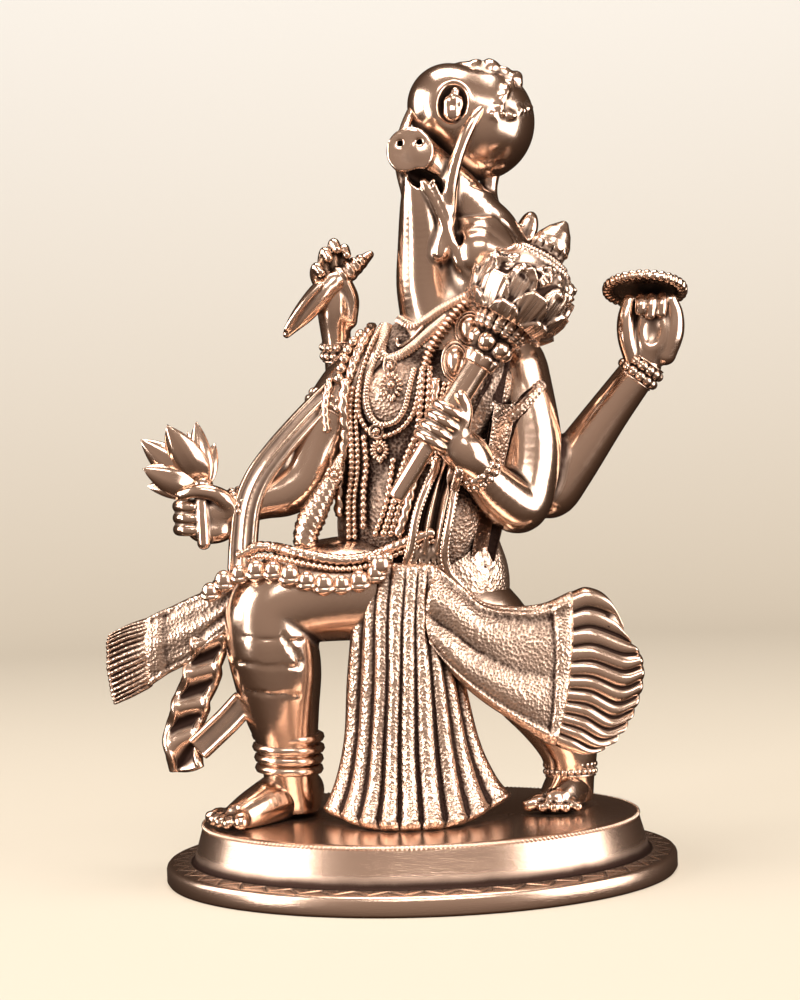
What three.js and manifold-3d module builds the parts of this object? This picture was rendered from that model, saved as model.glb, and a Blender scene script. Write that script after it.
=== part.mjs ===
// A cast brass varaha figure, boar-headed and four-armed, standing on an oval plinth.
// It lunges to its right, lifts the globe of the earth on its tusks, and holds
// a conch and a lotus on its right side, and a discus and a mace on its left.
// Millimetres, +Z up. The figure faces -Y, and the origin is the centre of the plinth's underside.
import * as THREE from "three";
import { mergeVertices } from "three/addons/utils/BufferGeometryUtils.js";
import Module from "manifold-3d";

const wasm = await Module();
wasm.setup();

// Driving dimensions of the plinth
const DRUM_HALF_LENGTH = 84;
const DRUM_HALF_DEPTH = 61;
const DRUM_TOP = 22;
const DRUM_FLARE = 3.5;
const FLANGE_REACH = 14;
const FLANGE_HEIGHT = 7.5;
const FLANGE_EDGE = 1;
const PLINTH_SIDES = 36;

// The figure stands a hair above the plinth's top, so that the two solids only touch.
const STANDING_GAP = 0.3;
const GROUND = DRUM_TOP + STANDING_GAP;

// Where the joints of the body stand
const NECK = [19, 5, 206];
const RIGHT_KNEE = [-56, -13, 104];
const RIGHT_ANKLE = [-49.6, 0, 42];
const LEFT_KNEE = [41, 4, 71];
const LEFT_ANKLE = [58.6, 4, 35];
const CONCH_ELBOW = [-23, 28, 171];
const CONCH_WRIST = [-26.5, 11, 206];
const LOTUS_ELBOW = [-40, -2, 151];
const LOTUS_FIST = [-78.6, -10.4, 140.4];
const DISCUS_ELBOW = [53, 12, 143];
const DISCUS_WRIST = [90.6, 4.2, 189.8];
const MACE_ELBOW = [42, -8, 138];
const MACE_FIST = [15.4, -32.6, 171];

// Driving dimensions of the head and what it carries
const GLOBE_CENTRE = [31, 2, 288];
const GLOBE_RADIUS = 22;
const BOSS_CENTRE = [19.6, -8, 293];
const BOSS_RADII = [15.6, 13, 15.6];

// Driving dimensions of the mace
const MACE_FOOT = [-5.7, -33, 143.6];
const MACE_TIP = [58.9, -31, 241];
const MACE_HEAD_AT = 90;
const MACE_HEAD_RADIUS = 17.6;
const MACE_PETALS = 6;

// How many folds the skirt has
const SKIRT_PLEATS = 5;

const FRONT = new THREE.Vector3(0, -1, 0);
const UP = new THREE.Vector3(0, 0, 1);
const vec = ([x, y, z]) => new THREE.Vector3(x, y, z);

// Makes a manifold-3d solid of a closed geometry, with its faces turned outwards.
function solid(geometry) {
  const bare = geometry.clone();
  bare.deleteAttribute("normal");
  bare.deleteAttribute("uv");
  const merged = mergeVertices(bare, 1e-4);
  const vertProperties = new Float32Array(merged.attributes.position.array);
  const corner = (i) => new THREE.Vector3().fromArray(vertProperties, 3 * merged.index.array[i]);
  let sixVolumes = 0;
  for (let i = 0; i < merged.index.count; i += 3)
    sixVolumes += corner(i).dot(corner(i + 1).cross(corner(i + 2)));
  const triVerts = new Uint32Array(merged.index.array);
  if (sixVolumes < 0) triVerts.reverse();
  return new wasm.Manifold(new wasm.Mesh({ numProp: 3, vertProperties, triVerts }));
}

const join = (solids) => solids.reduce((sum, next) => sum.add(next));

// A closed solid through rings that all have the same number of points, with a fan over each end.
function loft(rings) {
  const sides = rings[0].length;
  const points = rings.flat();
  const index = [];
  for (let r = 0; r + 1 < rings.length; r++)
    for (let s = 0; s < sides; s++) {
      const a = r * sides + s;
      const b = r * sides + ((s + 1) % sides);
      index.push(a, b, a + sides, b, b + sides, a + sides);
    }
  const fan = (start, forward) => {
    const ring = points.slice(start, start + sides);
    const middle = ring.reduce((sum, p) => sum.add(p), new THREE.Vector3()).divideScalar(sides);
    const centre = points.push(middle) - 1;
    for (let s = 0; s < sides; s++) {
      const here = start + s;
      const next = start + ((s + 1) % sides);
      index.push(...(forward ? [here, next, centre] : [next, here, centre]));
    }
  };
  fan(0, false);
  fan((rings.length - 1) * sides, true);
  const geometry = new THREE.BufferGeometry().setFromPoints(points);
  geometry.setIndex(index);
  return solid(geometry);
}

// An oval ring about a centre, square to a direction of travel.
function ovalRing(centre, along, halfWidth, halfDepth, sides, front) {
  const across = new THREE.Vector3().crossVectors(along, front).normalize();
  const forward = new THREE.Vector3().crossVectors(across, along).normalize();
  return Array.from({ length: sides }, (_, s) => {
    const turn = (-2 * Math.PI * s) / sides;
    return centre.clone()
      .addScaledVector(across, halfWidth * Math.cos(turn))
      .addScaledVector(forward, halfDepth * Math.sin(turn));
  });
}

// A limb through stations [x, y, z, half width, half depth]; a station with no half depth is round.
// "ends" says how far its rounded ends stand out, as a share of the end's half depth.
function limb(stations, { sides = 6, front = FRONT, ends = 0 } = {}) {
  const rows = stations.map((row) => (row.length === 5 ? row : [...row, row[3]]));
  const last = rows.length - 1;
  const centre = (i) => vec(rows[THREE.MathUtils.clamp(i, 0, last)]);
  const rings = rows.map((row, i) => {
    const along = centre(i + 1).sub(centre(i - 1)).normalize();
    return ovalRing(centre(i), along, row[3], row[4], sides, front);
  });
  if (ends > 0) {
    const tip = (i, inner) => {
      const outwards = centre(i).sub(centre(inner)).normalize();
      const along = i === 0 ? outwards.clone().negate() : outwards;
      const stand = centre(i).addScaledVector(outwards, ends * rows[i][4]);
      return ovalRing(stand, along, rows[i][3] * 0.55, rows[i][4] * 0.55, sides, front);
    };
    rings.unshift(tip(0, 1));
    rings.push(tip(last, last - 1));
  }
  return loft(rings);
}

// An oval body turned by Euler angles in degrees, with a number of sides around and from pole to pole.
function blob(centre, radii, turn = [0, 0, 0], [around, down] = [8, 5]) {
  const pose = new THREE.Matrix4().compose(
    vec(centre),
    new THREE.Quaternion().setFromEuler(new THREE.Euler(...turn.map(THREE.MathUtils.degToRad))),
    vec(radii),
  );
  return solid(new THREE.SphereGeometry(1, around, down).rotateX(Math.PI / 2).applyMatrix4(pose));
}

// A profile [radius, height] turned about a line that starts at a point and runs in a direction.
function turned(profile, start, direction, sides) {
  const pose = new THREE.Matrix4().compose(
    vec(start),
    new THREE.Quaternion().setFromUnitVectors(new THREE.Vector3(0, 1, 0), vec(direction).normalize()),
    new THREE.Vector3(1, 1, 1),
  );
  const outline = profile.map(([radius, height]) => new THREE.Vector2(radius, height));
  return solid(new THREE.LatheGeometry(outline, sides).applyMatrix4(pose));
}

// Stations for a ring of ornament about a limb, which swells from the limb's radius to the ring's.
function ringStations(centre, direction, limbRadius, ringRadius, halfWidth) {
  const along = vec(direction).normalize();
  const at = (share) => vec(centre).addScaledVector(along, share * halfWidth).toArray();
  const ring = [[...at(-0.5), ringRadius], [...at(0.5), ringRadius]];
  return [[...at(-1), limbRadius], ...ring, [...at(1), limbRadius]];
}

// A cord of beads along a smooth path: a tube that swells at each bead.
function beads(path, count, radius, { sides = 4, neck = 0.6 } = {}) {
  const curve = new THREE.CatmullRomCurve3(path.map(vec));
  const rings = Array.from({ length: 2 * count + 1 }, (_, i) => {
    const at = i / (2 * count);
    const size = radius * (i % 2 ? 1 : neck);
    return ovalRing(curve.getPointAt(at), curve.getTangentAt(at), size, size, sides, FRONT);
  });
  return loft(rings);
}

// A plain ridge along a smooth path, where a chain lies.
const cord = (path, radius) => limb(path.map((point) => [...point, radius]), { sides: 4 });

// Pleated cloth through rows [one edge, other edge, depth of the folds, how far the row stands forward].
function cloth(rows, { thickness, folds = 1, columns = 2 * folds, front = FRONT }) {
  return loft(rows.map(([a, b, depth = 0, stand = 0]) => {
    const [from, to] = [vec(a), vec(b)];
    const across = (count) => Array.from({ length: count + 1 }, (_, c) => c / count);
    const face = across(columns).map((share) => from.clone().lerp(to, share)
      .addScaledVector(front, stand + depth * Math.cos(2 * Math.PI * folds * share)));
    const back = across(Math.ceil(columns / 4)).map((share) => to.clone().lerp(from, share)
      .addScaledVector(front, -thickness));
    return [...face, ...back];
  }));
}

// The body from the hips to the base of the neck: [x, y, z, half width, half depth].
const TORSO = [
  [5, 3, 95, 28, 16],
  [6, 3, 112, 30.5, 19],
  [1, 2, 131, 29.5, 18],
  [2, 1, 150, 29, 18],
  [5, 2, 170, 32, 19.5],
  [13, 4, 188, 36, 20],
  [18, 5, 202, 32, 17],
  [19.5, 5, 212, 22, 14],
];

// The y of the front of the body at an x and a height, and a little proud of it.
function onBody(x, z, proud) {
  const above = TORSO.findIndex((row) => row[2] > z);
  const i = THREE.MathUtils.clamp(above < 0 ? TORSO.length - 2 : above - 1, 0, TORSO.length - 2);
  const share = THREE.MathUtils.clamp((z - TORSO[i][2]) / (TORSO[i + 1][2] - TORSO[i][2]), 0, 1);
  const [cx, cy, , halfWidth, halfDepth] = TORSO[i].map((value, column) =>
    value + share * (TORSO[i + 1][column] - value));
  const side = THREE.MathUtils.clamp((x - cx) / halfWidth, -0.95, 0.95);
  return cy - halfDepth * Math.sqrt(1 - side * side) - proud;
}

// Puts points [x, z] on the front of the body.
const drape = (points, proud) => points.map(([x, z]) => [x, onBody(x, z, proud), z]);

function plinth() {
  const oval = (reach, height) => Array.from({ length: PLINTH_SIDES }, (_, s) => {
    const turn = (2 * Math.PI * s) / PLINTH_SIDES;
    const across = (DRUM_HALF_LENGTH + reach) * Math.cos(turn);
    return new THREE.Vector3(across, (DRUM_HALF_DEPTH + reach) * Math.sin(turn), height);
  });
  return loft([
    oval(FLANGE_REACH - FLANGE_EDGE, 0),
    oval(FLANGE_REACH, FLANGE_EDGE),
    oval(FLANGE_REACH, FLANGE_HEIGHT - FLANGE_EDGE),
    oval(FLANGE_REACH - FLANGE_EDGE, FLANGE_HEIGHT),
    oval(DRUM_FLARE, FLANGE_HEIGHT),
    oval(0, DRUM_TOP - 2 * FLANGE_EDGE),
    oval(FLANGE_EDGE, DRUM_TOP - FLANGE_EDGE),
    oval(0, DRUM_TOP),
  ]);
}

// The boar's head, thrown back with its snout up.
function head() {
  const neck = limb([
    [...NECK, 23, 16],
    [28, 4, 221, 20, 16.5],
    [33, 5, 237, 17.6, 15.5],
    [31, 3, 250, 13.5, 12],
    [25, -1, 258, 9.5, 9],
  ], { sides: 8 });
  const snout = limb([
    [29, 1, 250, 10, 10],
    [21, -5, 260, 9.6, 9],
    [13, -13, 268, 7.6, 7.5],
    [7.4, -20.8, 273.3, 8.4, 9],
  ], { sides: 7 });
  const jaw = limb([
    [14, 2, 213, 16, 13],
    [9.6, -2, 225.6, 11.5, 10.5],
    [8.5, -6, 240, 9.8, 9],
    [6.6, -12, 255, 7.6, 6.6],
    [5.2, -15, 263, 4.6, 4],
  ], { sides: 7 });
  const rightTusk = [
    [18.4, -13, 250, 3], [18.4, -18, 261, 2.6], [23, -20.6, 273, 2.4], [30, -19.5, 287, 1.8],
  ];
  const leftTusk = [[3, -10, 259, 2.4], [0.6, -12, 269, 2.3], [2.2, -11, 282, 2.2], [7.4, -9, 296, 1.6]];
  return join([
    neck, snout, jaw,
    limb(rightTusk, { sides: 4 }),
    limb(leftTusk, { sides: 4 }),
    blob([49, 9, 246], [4, 3, 8.5], [0, -28, 20], [6, 4]),
    blob([20, 13, 246.6], [3.4, 5, 8], [-30, -20, 0], [6, 4]),
  ]);
}

// The globe of the earth: the sphere, the round boss on its front and the band of land over its top.
function globe() {
  const sphere = blob(GLOBE_CENTRE, [GLOBE_RADIUS, GLOBE_RADIUS, GLOBE_RADIUS], [0, 0, 0], [13, 8]);
  const boss = blob(BOSS_CENTRE, BOSS_RADII, [0, 20, -20], [9, 6]);
  const medallion = blob([20.2, -19.8, 291], [5.4, 3.4, 7.6], [0, 16, -15], [6, 3]);
  const land = blob([30, 3, 303.2], [15, 12, 8.6], [0, 10, 0], [8, 4]);
  const post = limb([[34, 4, 256, 3.6], [35, 4, 269, 3.6]], { sides: 4 });
  return join([sphere, boss, medallion, land, post]);
}

// Four fingers closed round a shaft, one above the other along its axis.
function grip(centre, axis, reach, pitch) {
  const half = vec(axis).normalize().multiplyScalar(2 * pitch);
  const ends = [vec(centre).sub(half).toArray(), vec(centre).add(half).toArray()];
  return beads(ends, 4, reach, { sides: 5, neck: 0.8 });
}

// The upper right arm, behind the shoulder, and the conch that it holds up.
function conchArm() {
  const palm = [-27, 7.6, 225];
  const fingertips = [[-33, 233], [-30.4, 239.4], [-26.6, 243.6], [-22.6, 242.6]];
  const fingers = fingertips.map(([x, z], i) =>
    limb([[-31.4 + 3 * i, 7.6, palm[2] - 1, 2], [x, 6, z, 1.5]], { sides: 4 }));
  const conch = limb([
    [-44.6, 1, 209.4, 1], [-38, 1, 216.6, 4], [-30, 3, 225, 5], [-18, 7, 233.6, 2.8],
    [-12.2, 8, 238.4, 1.4],
  ], { sides: 6 });
  return join([
    limb([[-10, 10, 195, 11], [-20, 22, 180, 9.5], [...CONCH_ELBOW, 8.5]], { ends: 0.8, sides: 5 }),
    limb([
      [...CONCH_ELBOW, 8], ...ringStations([-26.2, 13, 202], [-0.1, -0.5, 0.87], 5.6, 7.2, 4.4),
      [...CONCH_WRIST, 5], [-27, 8, 217, 6.8, 4.4], [...palm, 6.8, 4],
    ]),
    ...fingers,
    limb([[-28, 6, 214, 3], [-29.6, -1, 224, 2.2]], { sides: 4 }),
    conch,
  ]);
}

// The lotus bud in the lower right hand: petals spread from the top of its stem.
function lotus() {
  const base = [-78.6, -10.5, 151.5];
  const wideTips = [[-100.4, -15, 168.8], [-89.6, -18, 173.6], [-99.6, -16, 157.6]];
  const narrowTips = [[-99.4, -8, 151.5], [-80.8, -4, 175], [-74.4, -2, 166.5]];
  const petal = (tip, halfWidth) => {
    const at = (share, width) => [...vec(base).lerp(vec(tip), share).toArray(), halfWidth * width, 2];
    return limb([at(0.1, 0.6), at(0.6, 1), at(1, 0.1)], { sides: 4 });
  };
  const stem = limb([[-74.6, -15, 130, 2.6], [...LOTUS_FIST, 3], [...base, 3.4], [-80, -11.4, 155, 3]],
    { sides: 4 });
  const petals = [...wideTips.map((tip) => petal(tip, 5.6)), ...narrowTips.map((tip) => petal(tip, 3.2))];
  return join([stem, ...petals]);
}

// The lower right arm, with the lotus in its fist.
function lotusArm() {
  return join([
    limb([
      [-16, 5, 193, 13], ...ringStations([-32, 1, 173], [-0.4, -0.1, -0.9], 10.4, 12, 3.6),
      [-38, -1, 158, 10.4], [...LOTUS_ELBOW, 9.4],
    ], { sides: 7, ends: 0.8 }),
    limb([
      [-39, -2, 151, 9.4], [-53, -5, 146.5, 7.6],
      ...ringStations([-64.6, -7, 142.8], [-1, -0.15, -0.25], 6, 7.6, 4.4),
      [...LOTUS_FIST, 7, 5],
    ]),
    grip(LOTUS_FIST, [-0.1, 0.1, 1], 7.4, 4.2),
    limb([[-68, -10, 144, 3.6], [-74, -13, 150, 3], [-82, -14.6, 148.8, 2.1]], { sides: 4 }),
    lotus(),
  ]);
}

// The upper left arm, which holds the discus up and out.
function discusArm() {
  const [handX, handY, handZ] = [95.6, 2.4, 206];
  const knuckles = cloth([
    [[88.6, -1.6, handZ + 14], [103, -1.6, handZ + 14], 1],
    [[88.6, -5.6, handZ + 8], [103.4, -5.6, handZ + 8], 1.2],
    [[89.4, -3.6, handZ + 1], [102.4, -3.6, handZ + 1], 0.8],
  ], { thickness: 4, folds: 4 });
  const discus = turned(
    [[0, -1.6], [15.4, -1.4], [16.6, 0.3], [15.2, 1.8], [5, 2.2], [0, 4.4]],
    [93.4, 2.4, 221], [0.03, 0.05, 1], 14);
  return join([
    limb([[40, 9, 190, 15], [47, 12, 168, 13], [51, 12, 150, 11.6], [...DISCUS_ELBOW, 10.6]],
      { sides: 7, ends: 0.8 }),
    limb([
      [...DISCUS_ELBOW, 11], [63, 10.3, 154, 10.2], [78, 7.4, 174, 8.2],
      ...ringStations(DISCUS_WRIST, [0.62, -0.12, 0.78], 6.4, 8.8, 4.8),
      [handX - 0.3, handY, handZ - 3, 11, 7.4], [handX + 0.4, 2, handZ + 8, 10.4, 6.6],
      [handX - 2, 2, handZ + 14, 7, 5],
    ], { sides: 7 }),
    limb([[87, -1, 203, 3.2], [85.6, -1.6, 211, 2.8], [86, -1, 219.6, 2]], { sides: 4 }),
    knuckles, discus,
  ]);
}

// The lower left arm and the fist that holds the mace.
function maceArm() {
  const along = vec(MACE_TIP).sub(vec(MACE_FOOT)).normalize().toArray();
  return join([
    limb([[42, 3, 188, 14], [47, -1, 166, 12.8], [43.5, -7, 143, 11], [...MACE_ELBOW, 10.4]],
      { sides: 7, ends: 0.8 }),
    limb([
      [...MACE_ELBOW, 10.4], [34, -17, 144, 9],
      ...ringStations([26.4, -25, 152.6], [-0.6, -0.62, 0.6], 6.8, 8.6, 4.2),
      [20.6, -30.4, 161, 9.6, 7.6], [17.4, -30, 171, 9, 6], [16.6, -30, 179, 5, 4],
    ]),
    grip(MACE_FIST, along, 9, 4.6),
    limb([[20, -29, 171, 3.4], [17, -30, 180, 3], [13.4, -35, 184, 2.2]], { sides: 4 }),
    mace(),
  ]);
}

// The mace: a slim shaft, rings, a lobed collar and a round head in petals, with a cone on top.
// Each station is [height along the shaft, radius, how far the petals stand out].
function mace() {
  const foot = vec(MACE_FOOT);
  const shaft = vec(MACE_TIP).sub(foot);
  const along = shaft.clone().normalize();
  const side = new THREE.Vector3().crossVectors(along, FRONT).normalize();
  const out = new THREE.Vector3().crossVectors(side, along);
  const fluted = (stations, petals) => loft(stations.map(([height, radius, stand]) => {
    const centre = foot.clone().addScaledVector(along, height);
    return Array.from({ length: 2 * petals }, (_, s) => {
      const turn = (Math.PI * s) / petals;
      const reach = radius + (s % 2 ? stand : -stand);
      return centre.clone()
        .addScaledVector(side, reach * Math.cos(turn))
        .addScaledVector(out, reach * Math.sin(turn));
    });
  }));
  const neck = MACE_HEAD_AT - MACE_HEAD_RADIUS;
  const rod = fluted([
    [0, 2.8, 0], [34, 3.2, 0], [35, 4.9, 0], [neck - 22, 5, 0], [neck - 20, 6.8, 0], [neck - 17, 5, 0],
    [neck - 11.4, 8.2, 0.6], [neck - 7, 5, 0], [neck - 2, 9, 0.6], [neck + 4, 4, 0],
  ], 4);
  const head = fluted([
    [neck + 1, 7.4, 0.4], [neck + 8, 15, 1.2], [MACE_HEAD_AT - 2, MACE_HEAD_RADIUS, 0.9],
    [MACE_HEAD_AT + 4, MACE_HEAD_RADIUS - 0.8, 0], [MACE_HEAD_AT + 12, 13.2, 0],
    [MACE_HEAD_AT + 15.6, 6, 0], [MACE_HEAD_AT + 19, 7.4, 0], [shaft.length(), 0.6, 0],
  ], MACE_PETALS);
  return join([rod, head]);
}

// A foot flat on the plinth, through stations [x, y, half width, height], with five toes.
function foot(stations, toeLength, bigToeSide) {
  const rows = stations.map(([x, y, halfWidth, height]) =>
    [x, y, GROUND + height / 2, halfWidth, height / 2]);
  const body = limb(rows, { front: UP, ends: 0.3 });
  const [back, ball] = stations.slice(-2).map(([x, y]) => vec([x, y, GROUND]));
  const width = stations.at(-1)[2];
  const ahead = ball.clone().sub(back).normalize();
  const across = new THREE.Vector3().crossVectors(ahead, UP);
  const toes = [-2, -1, 0, 1, 2].map((place) => {
    const size = place * bigToeSide === 2 ? 3.4 : 2.5;
    const reach = toeLength - 1.2 * (2 - place * bigToeSide);
    const root = ball.clone().addScaledVector(across, (place * width) / 2.5).setZ(GROUND + size);
    const tip = root.clone().addScaledVector(ahead, reach);
    return limb([[...root.toArray(), size], [...tip.toArray(), size * 0.8]], { sides: 4 });
  });
  return join([body, ...toes]);
}

function legs() {
  const rightThigh = limb([[-4, 3, 110, 21, 20], [-30, -5, 110, 20, 19], [-51, -11, 107, 16.4]],
    { sides: 8, ends: 0.4 });
  const rightCalf = limb([
    [RIGHT_KNEE[0] + 1, -13, 111, 9], [...RIGHT_KNEE, 15], [-53, -9, 90, 18], [-52.5, -6, 76, 16.4],
    [-51.4, -4, 62, 13.8], ...ringStations([-49.6, -1.6, 50], [0, 0.1, -1], 10.8, 12.6, 5),
    [...RIGHT_ANKLE, 10], [-48.8, 2, 37, 12], [-48.4, 4, 29, 10.4],
  ], { sides: 8 });
  const leftLeg = limb([
    [12, 5, 106, 19], [26, 4, 90, 19], [...LEFT_KNEE, 16], [53, 4, 57, 14], [59, 4, 48, 12.4],
    ...ringStations(LEFT_ANKLE, [0, 0, -1], 9, 10.4, 3), [59, 7, 28, 8.6],
  ], { sides: 7 });
  return join([
    rightThigh, rightCalf, leftLeg,
    foot([[-44, 20, 8, 14], [-53, 4, 10, 18], [-63, -8, 11.6, 14], [-70, -15, 12.4, 8.4]], 8, 1),
    foot([[60, 18, 7, 14], [57, 6, 9.4, 14], [53.4, -2, 11.6, 7.6]], 7.4, 1),
  ]);
}

// The front of the skirt: pleats that hang from the girdle and flare to a thick waved hem on the plinth.
function skirt() {
  const row = (left, right, y, z, depth, stand) => [[left, y, z], [right, y, z], depth, stand];
  return cloth([
    row(-19, 11, -15, 118, 0.8, 2),
    row(-23, 13, -17, 98, 1.2, 4),
    row(-26, 17.5, -18, 76, 1.5, 5),
    row(-28, 22, -18.5, 52, 1.8, 5),
    row(-32, 28, -19, 38, 2.2, 5),
    row(-35, 33, -20, GROUND + 8, 2.6, 5),
    row(-37, 35, -20, GROUND + 5.6, 3, 8),
    row(-37, 35, -20, GROUND - 1, 3, 9),
  ], { thickness: 13, folds: SKIRT_PLEATS });
}

// The stole that hangs from the left shoulder and flies out to the left, with its border and fringe.
function leftStole() {
  const hanging = cloth([
    [[17, -24, 178], [31, -20, 181], 0.8],
    [[9, -22, 155], [22, -21, 156], 0.8],
    [[-1, -22, 119], [14.5, -21, 119], 0.8],
  ], { thickness: 4, folds: 2 });
  const flying = cloth([
    [[-1.6, -23, 120], [14, -21, 120], 0.8],
    [[0, -25, 100], [20, -19, 108], 1.2],
    [[13, -24.5, 78], [31, -18, 102], 1.4],
    [[29, -22, 63], [44, -16, 100.6], 1.4],
    [[41, -20, 54.4], [48.6, -15.4, 101.6], 1.4],
    [[41.4, -20, 52], [49.2, -15.4, 104.4], 0.5, 1.6],
    [[51.6, -19, 49.4], [59, -15.4, 106.6], 0.5, 1.6],
  ], { thickness: 4.4, folds: 4 });
  const lobes = [
    [[57, 96], [76, 97.4], 8.6, 6],
    [[56, 82], [85, 80.6], 9.4, 7],
    [[55, 68], [84, 65.4], 9, 7],
    [[51, 55], [69, 50.6], 6.6, 6],
  ];
  const fringe = lobes.map(([[x1, z1], [x2, z2], nearHalf, farHalf]) => cloth([
    [[x1, -17.6, z1 - nearHalf], [x1, -16.2, z1 + nearHalf], 0.9],
    [[x2 - 3, -17, z2 - farHalf], [x2 - 3, -15.6, z2 + farHalf], 0.9],
    [[x2, -14.6, z2 - farHalf / 2], [x2, -13.6, z2 + farHalf / 2], 0.5],
  ], { thickness: 5.6, folds: 3 }));
  return join([hanging, flying, ...fringe]);
}

// The stole on the right: a loop from the shoulder over the forearm to the lap,
// and a fringed end that flies out.
function rightStole() {
  const loop = cloth([
    [[-15, -12, 193], [-14, 8, 194]],
    [[-30, -13, 184], [-29, 9, 185]],
    [[-46, -14, 171], [-45, 10, 171]],
    [[-60, -14, 154], [-58, 10, 153]],
    [[-65, -13, 132], [-63, 7, 130]],
    [[-64.4, -12, 116], [-62, 5, 114]],
  ], { thickness: 3.6, columns: 1, front: new THREE.Vector3(-0.8, 0, 0.6) });
  const flying = cloth([
    [[-76, 3, 94], [-68, 2, 117], 0.8],
    [[-93, 7.6, 81.4], [-91, 7, 104.6], 0.8],
    [[-94.6, 7.6, 79.6], [-92.6, 7, 105.4], 0.3, 1.2],
    [[-104, 9, 74.2], [-105, 8, 100.6], 0.3, 1.2],
    [[-105, 9.4, 73.6], [-106, 8.4, 99], 0.8],
    [[-115, 11, 68.4], [-117, 9, 95.4], 0.8],
  ], { thickness: 5.4, folds: 5 });
  return join([loop, flying]);
}

// The two loose ribbons behind the right knee: one hangs in waves,
// and one is a strap from the calf that meets it.
function ribbons() {
  const waved = cloth([
    [[-78, 3, 98], [-70, 2, 106], 1],
    [[-88.4, 7, 82.6], [-73, 4, 82], 1.2],
    [[-90.6, 8, 73.4], [-76, 6, 71], 1.2],
    [[-94.6, 8.6, 65.4], [-80, 7, 63], 1.2],
    [[-97.6, 9.6, 56], [-83, 9, 53.4], 1.2],
    [[-95, 10, 44.4], [-82, 9, 44], 0.8],
  ], { thickness: 4.4 });
  const strap = cloth([
    [[-52, 12, 72], [-54, 10, 84], -0.7],
    [[-68, 11, 60.6], [-69.4, 9, 71.6], -0.7],
    [[-80, 10, 50.4], [-83, 9, 58.6], -0.7],
    [[-88, 10, 45], [-91, 9, 52], -0.7],
  ], { thickness: 4 });
  const knot = limb([[-40, 14, 92, 8], [-58, 8, 98, 8], [-70, 3, 108, 7]], { sides: 5, ends: 0.5 });
  return join([waved, strap, knot]);
}

// The chains and garlands over the breast, and the shawl over the left shoulder.
function garlands() {
  const chains = [
    { path: [[2, 213], [5, 208], [14, 207], [24, 213], [31, 221]], radius: 2.4, proud: 1 },
    {
      path: [[-6, 209], [-15, 190], [-14.6, 175], [-8, 169.4], [-1, 175], [4, 190], [9, 205]],
      radius: 2, proud: 0.2,
    },
    { path: [[-20, 196], [-23, 178], [-23.6, 158], [-22, 130]], radius: 2.2, proud: 0.2 },
    { path: [[8, 190], [3, 172], [-3, 155], [-14, 131]], radius: 2.3, proud: 0.2 },
    { path: [[24, 218], [14, 203], [7, 180]], radius: 3.2, proud: 0.4 },
  ].map(({ path, radius, proud }) => cord(drape(path, proud), radius));
  const drops = [
    { at: [-3, 189.5], radii: [4, 2.6, 6.8] },
    { at: [-7.8, 164.4], radii: [3.6, 2.6, 5.4] },
    { at: [20, 206], radii: [5.4, 4, 6.2] },
    { at: [16.4, 195.6], radii: [4.8, 4.4, 6.4] },
  ].map(({ at: [x, z], radii }) => blob([x, onBody(x, z, 1), z], radii, [0, 0, 0], [6, 4]));
  return join([
    ...chains, ...drops,
    limb([[-23, -9, 156, 4], [-27, -10, 147, 6], [-31.6, -10, 137, 5.8], [-35, -9, 131, 2.4]],
      { sides: 5 }),
    limb([[32, 7, 210, 10], [43, 6, 199, 15.4], [47, 6, 183, 15.6], [46, 5, 168, 13]]),
    blob([-14, -2, 199], [6.4, 6, 7.4], [0, -30, 0], [6, 4]),
  ]);
}

// The girdle: a chain over the lap, a row of large lobes under it and a pointed buckle.
function girdle() {
  const chain = cord([
    [-62, -10, 125.6], [-46, -21, 127.4], [-30, -23.5, 123.6], [-16, -22.5, 120.4], [-6, -22, 123],
  ], 2.6);
  const lobes = beads([
    [-73, -4, 112], [-68, -17, 117.6], [-52, -27, 117], [-36, -29, 112.6], [-22, -27, 110.6],
    [-8, -24, 115],
  ], 7, 6.6, { sides: 5, neck: 0.72 });
  const back = cord([
    [-70, 6, 114], [-44, 17, 116], [-10, 23, 118], [24, 20, 118], [36, 2, 116], [26, -14, 117],
  ], 3.6);
  const buckle = limb([[-7.6, -25, 111.6, 6.4, 3.6], [-5, -25, 120, 5.4, 3.6], [-4, -25, 127.4, 0.8, 1.4]],
    { sides: 5 });
  return join([chain, lobes, back, buckle]);
}

// Everything that is cast in one with the figure, cut flat where it stands on the plinth.
function figure() {
  const reach = 600;
  const half = new THREE.BoxGeometry(reach, reach, reach).translate(0, 0, GROUND + reach / 2);
  const parts = [
    limb(TORSO, { sides: 10 }), head(), globe(), conchArm(), lotusArm(), discusArm(), maceArm(),
    legs(), skirt(), leftStole(), rightStole(), ribbons(), garlands(), girdle(),
  ];
  return join(parts).intersect(solid(half));
}

// A named mesh of a manifold-3d solid.
function meshOf(name, made, material) {
  const { numProp, vertProperties, triVerts } = made.getMesh();
  const positions = [];
  for (let i = 0; i < vertProperties.length; i += numProp)
    positions.push(vertProperties[i], vertProperties[i + 1], vertProperties[i + 2]);
  const geometry = new THREE.BufferGeometry();
  geometry.setAttribute("position", new THREE.Float32BufferAttribute(positions, 3));
  geometry.setIndex(Array.from(triVerts));
  geometry.computeVertexNormals();
  const mesh = new THREE.Mesh(geometry, material);
  mesh.name = name;
  return mesh;
}

const polishedBrass = new THREE.MeshStandardMaterial({ color: 0xb98a62, roughness: 0.28, metalness: 1 });
const brushedBrass = new THREE.MeshStandardMaterial({ color: 0xbf9672, roughness: 0.34, metalness: 1 });

const statue = new THREE.Group();
statue.add(meshOf("figure", figure(), polishedBrass));
statue.add(meshOf("plinth", plinth(), brushedBrass));

export default statue;
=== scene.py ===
"""A varaha figure of cast brass on its oval plinth. Every length below is in millimetres."""
import math
import random

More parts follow.
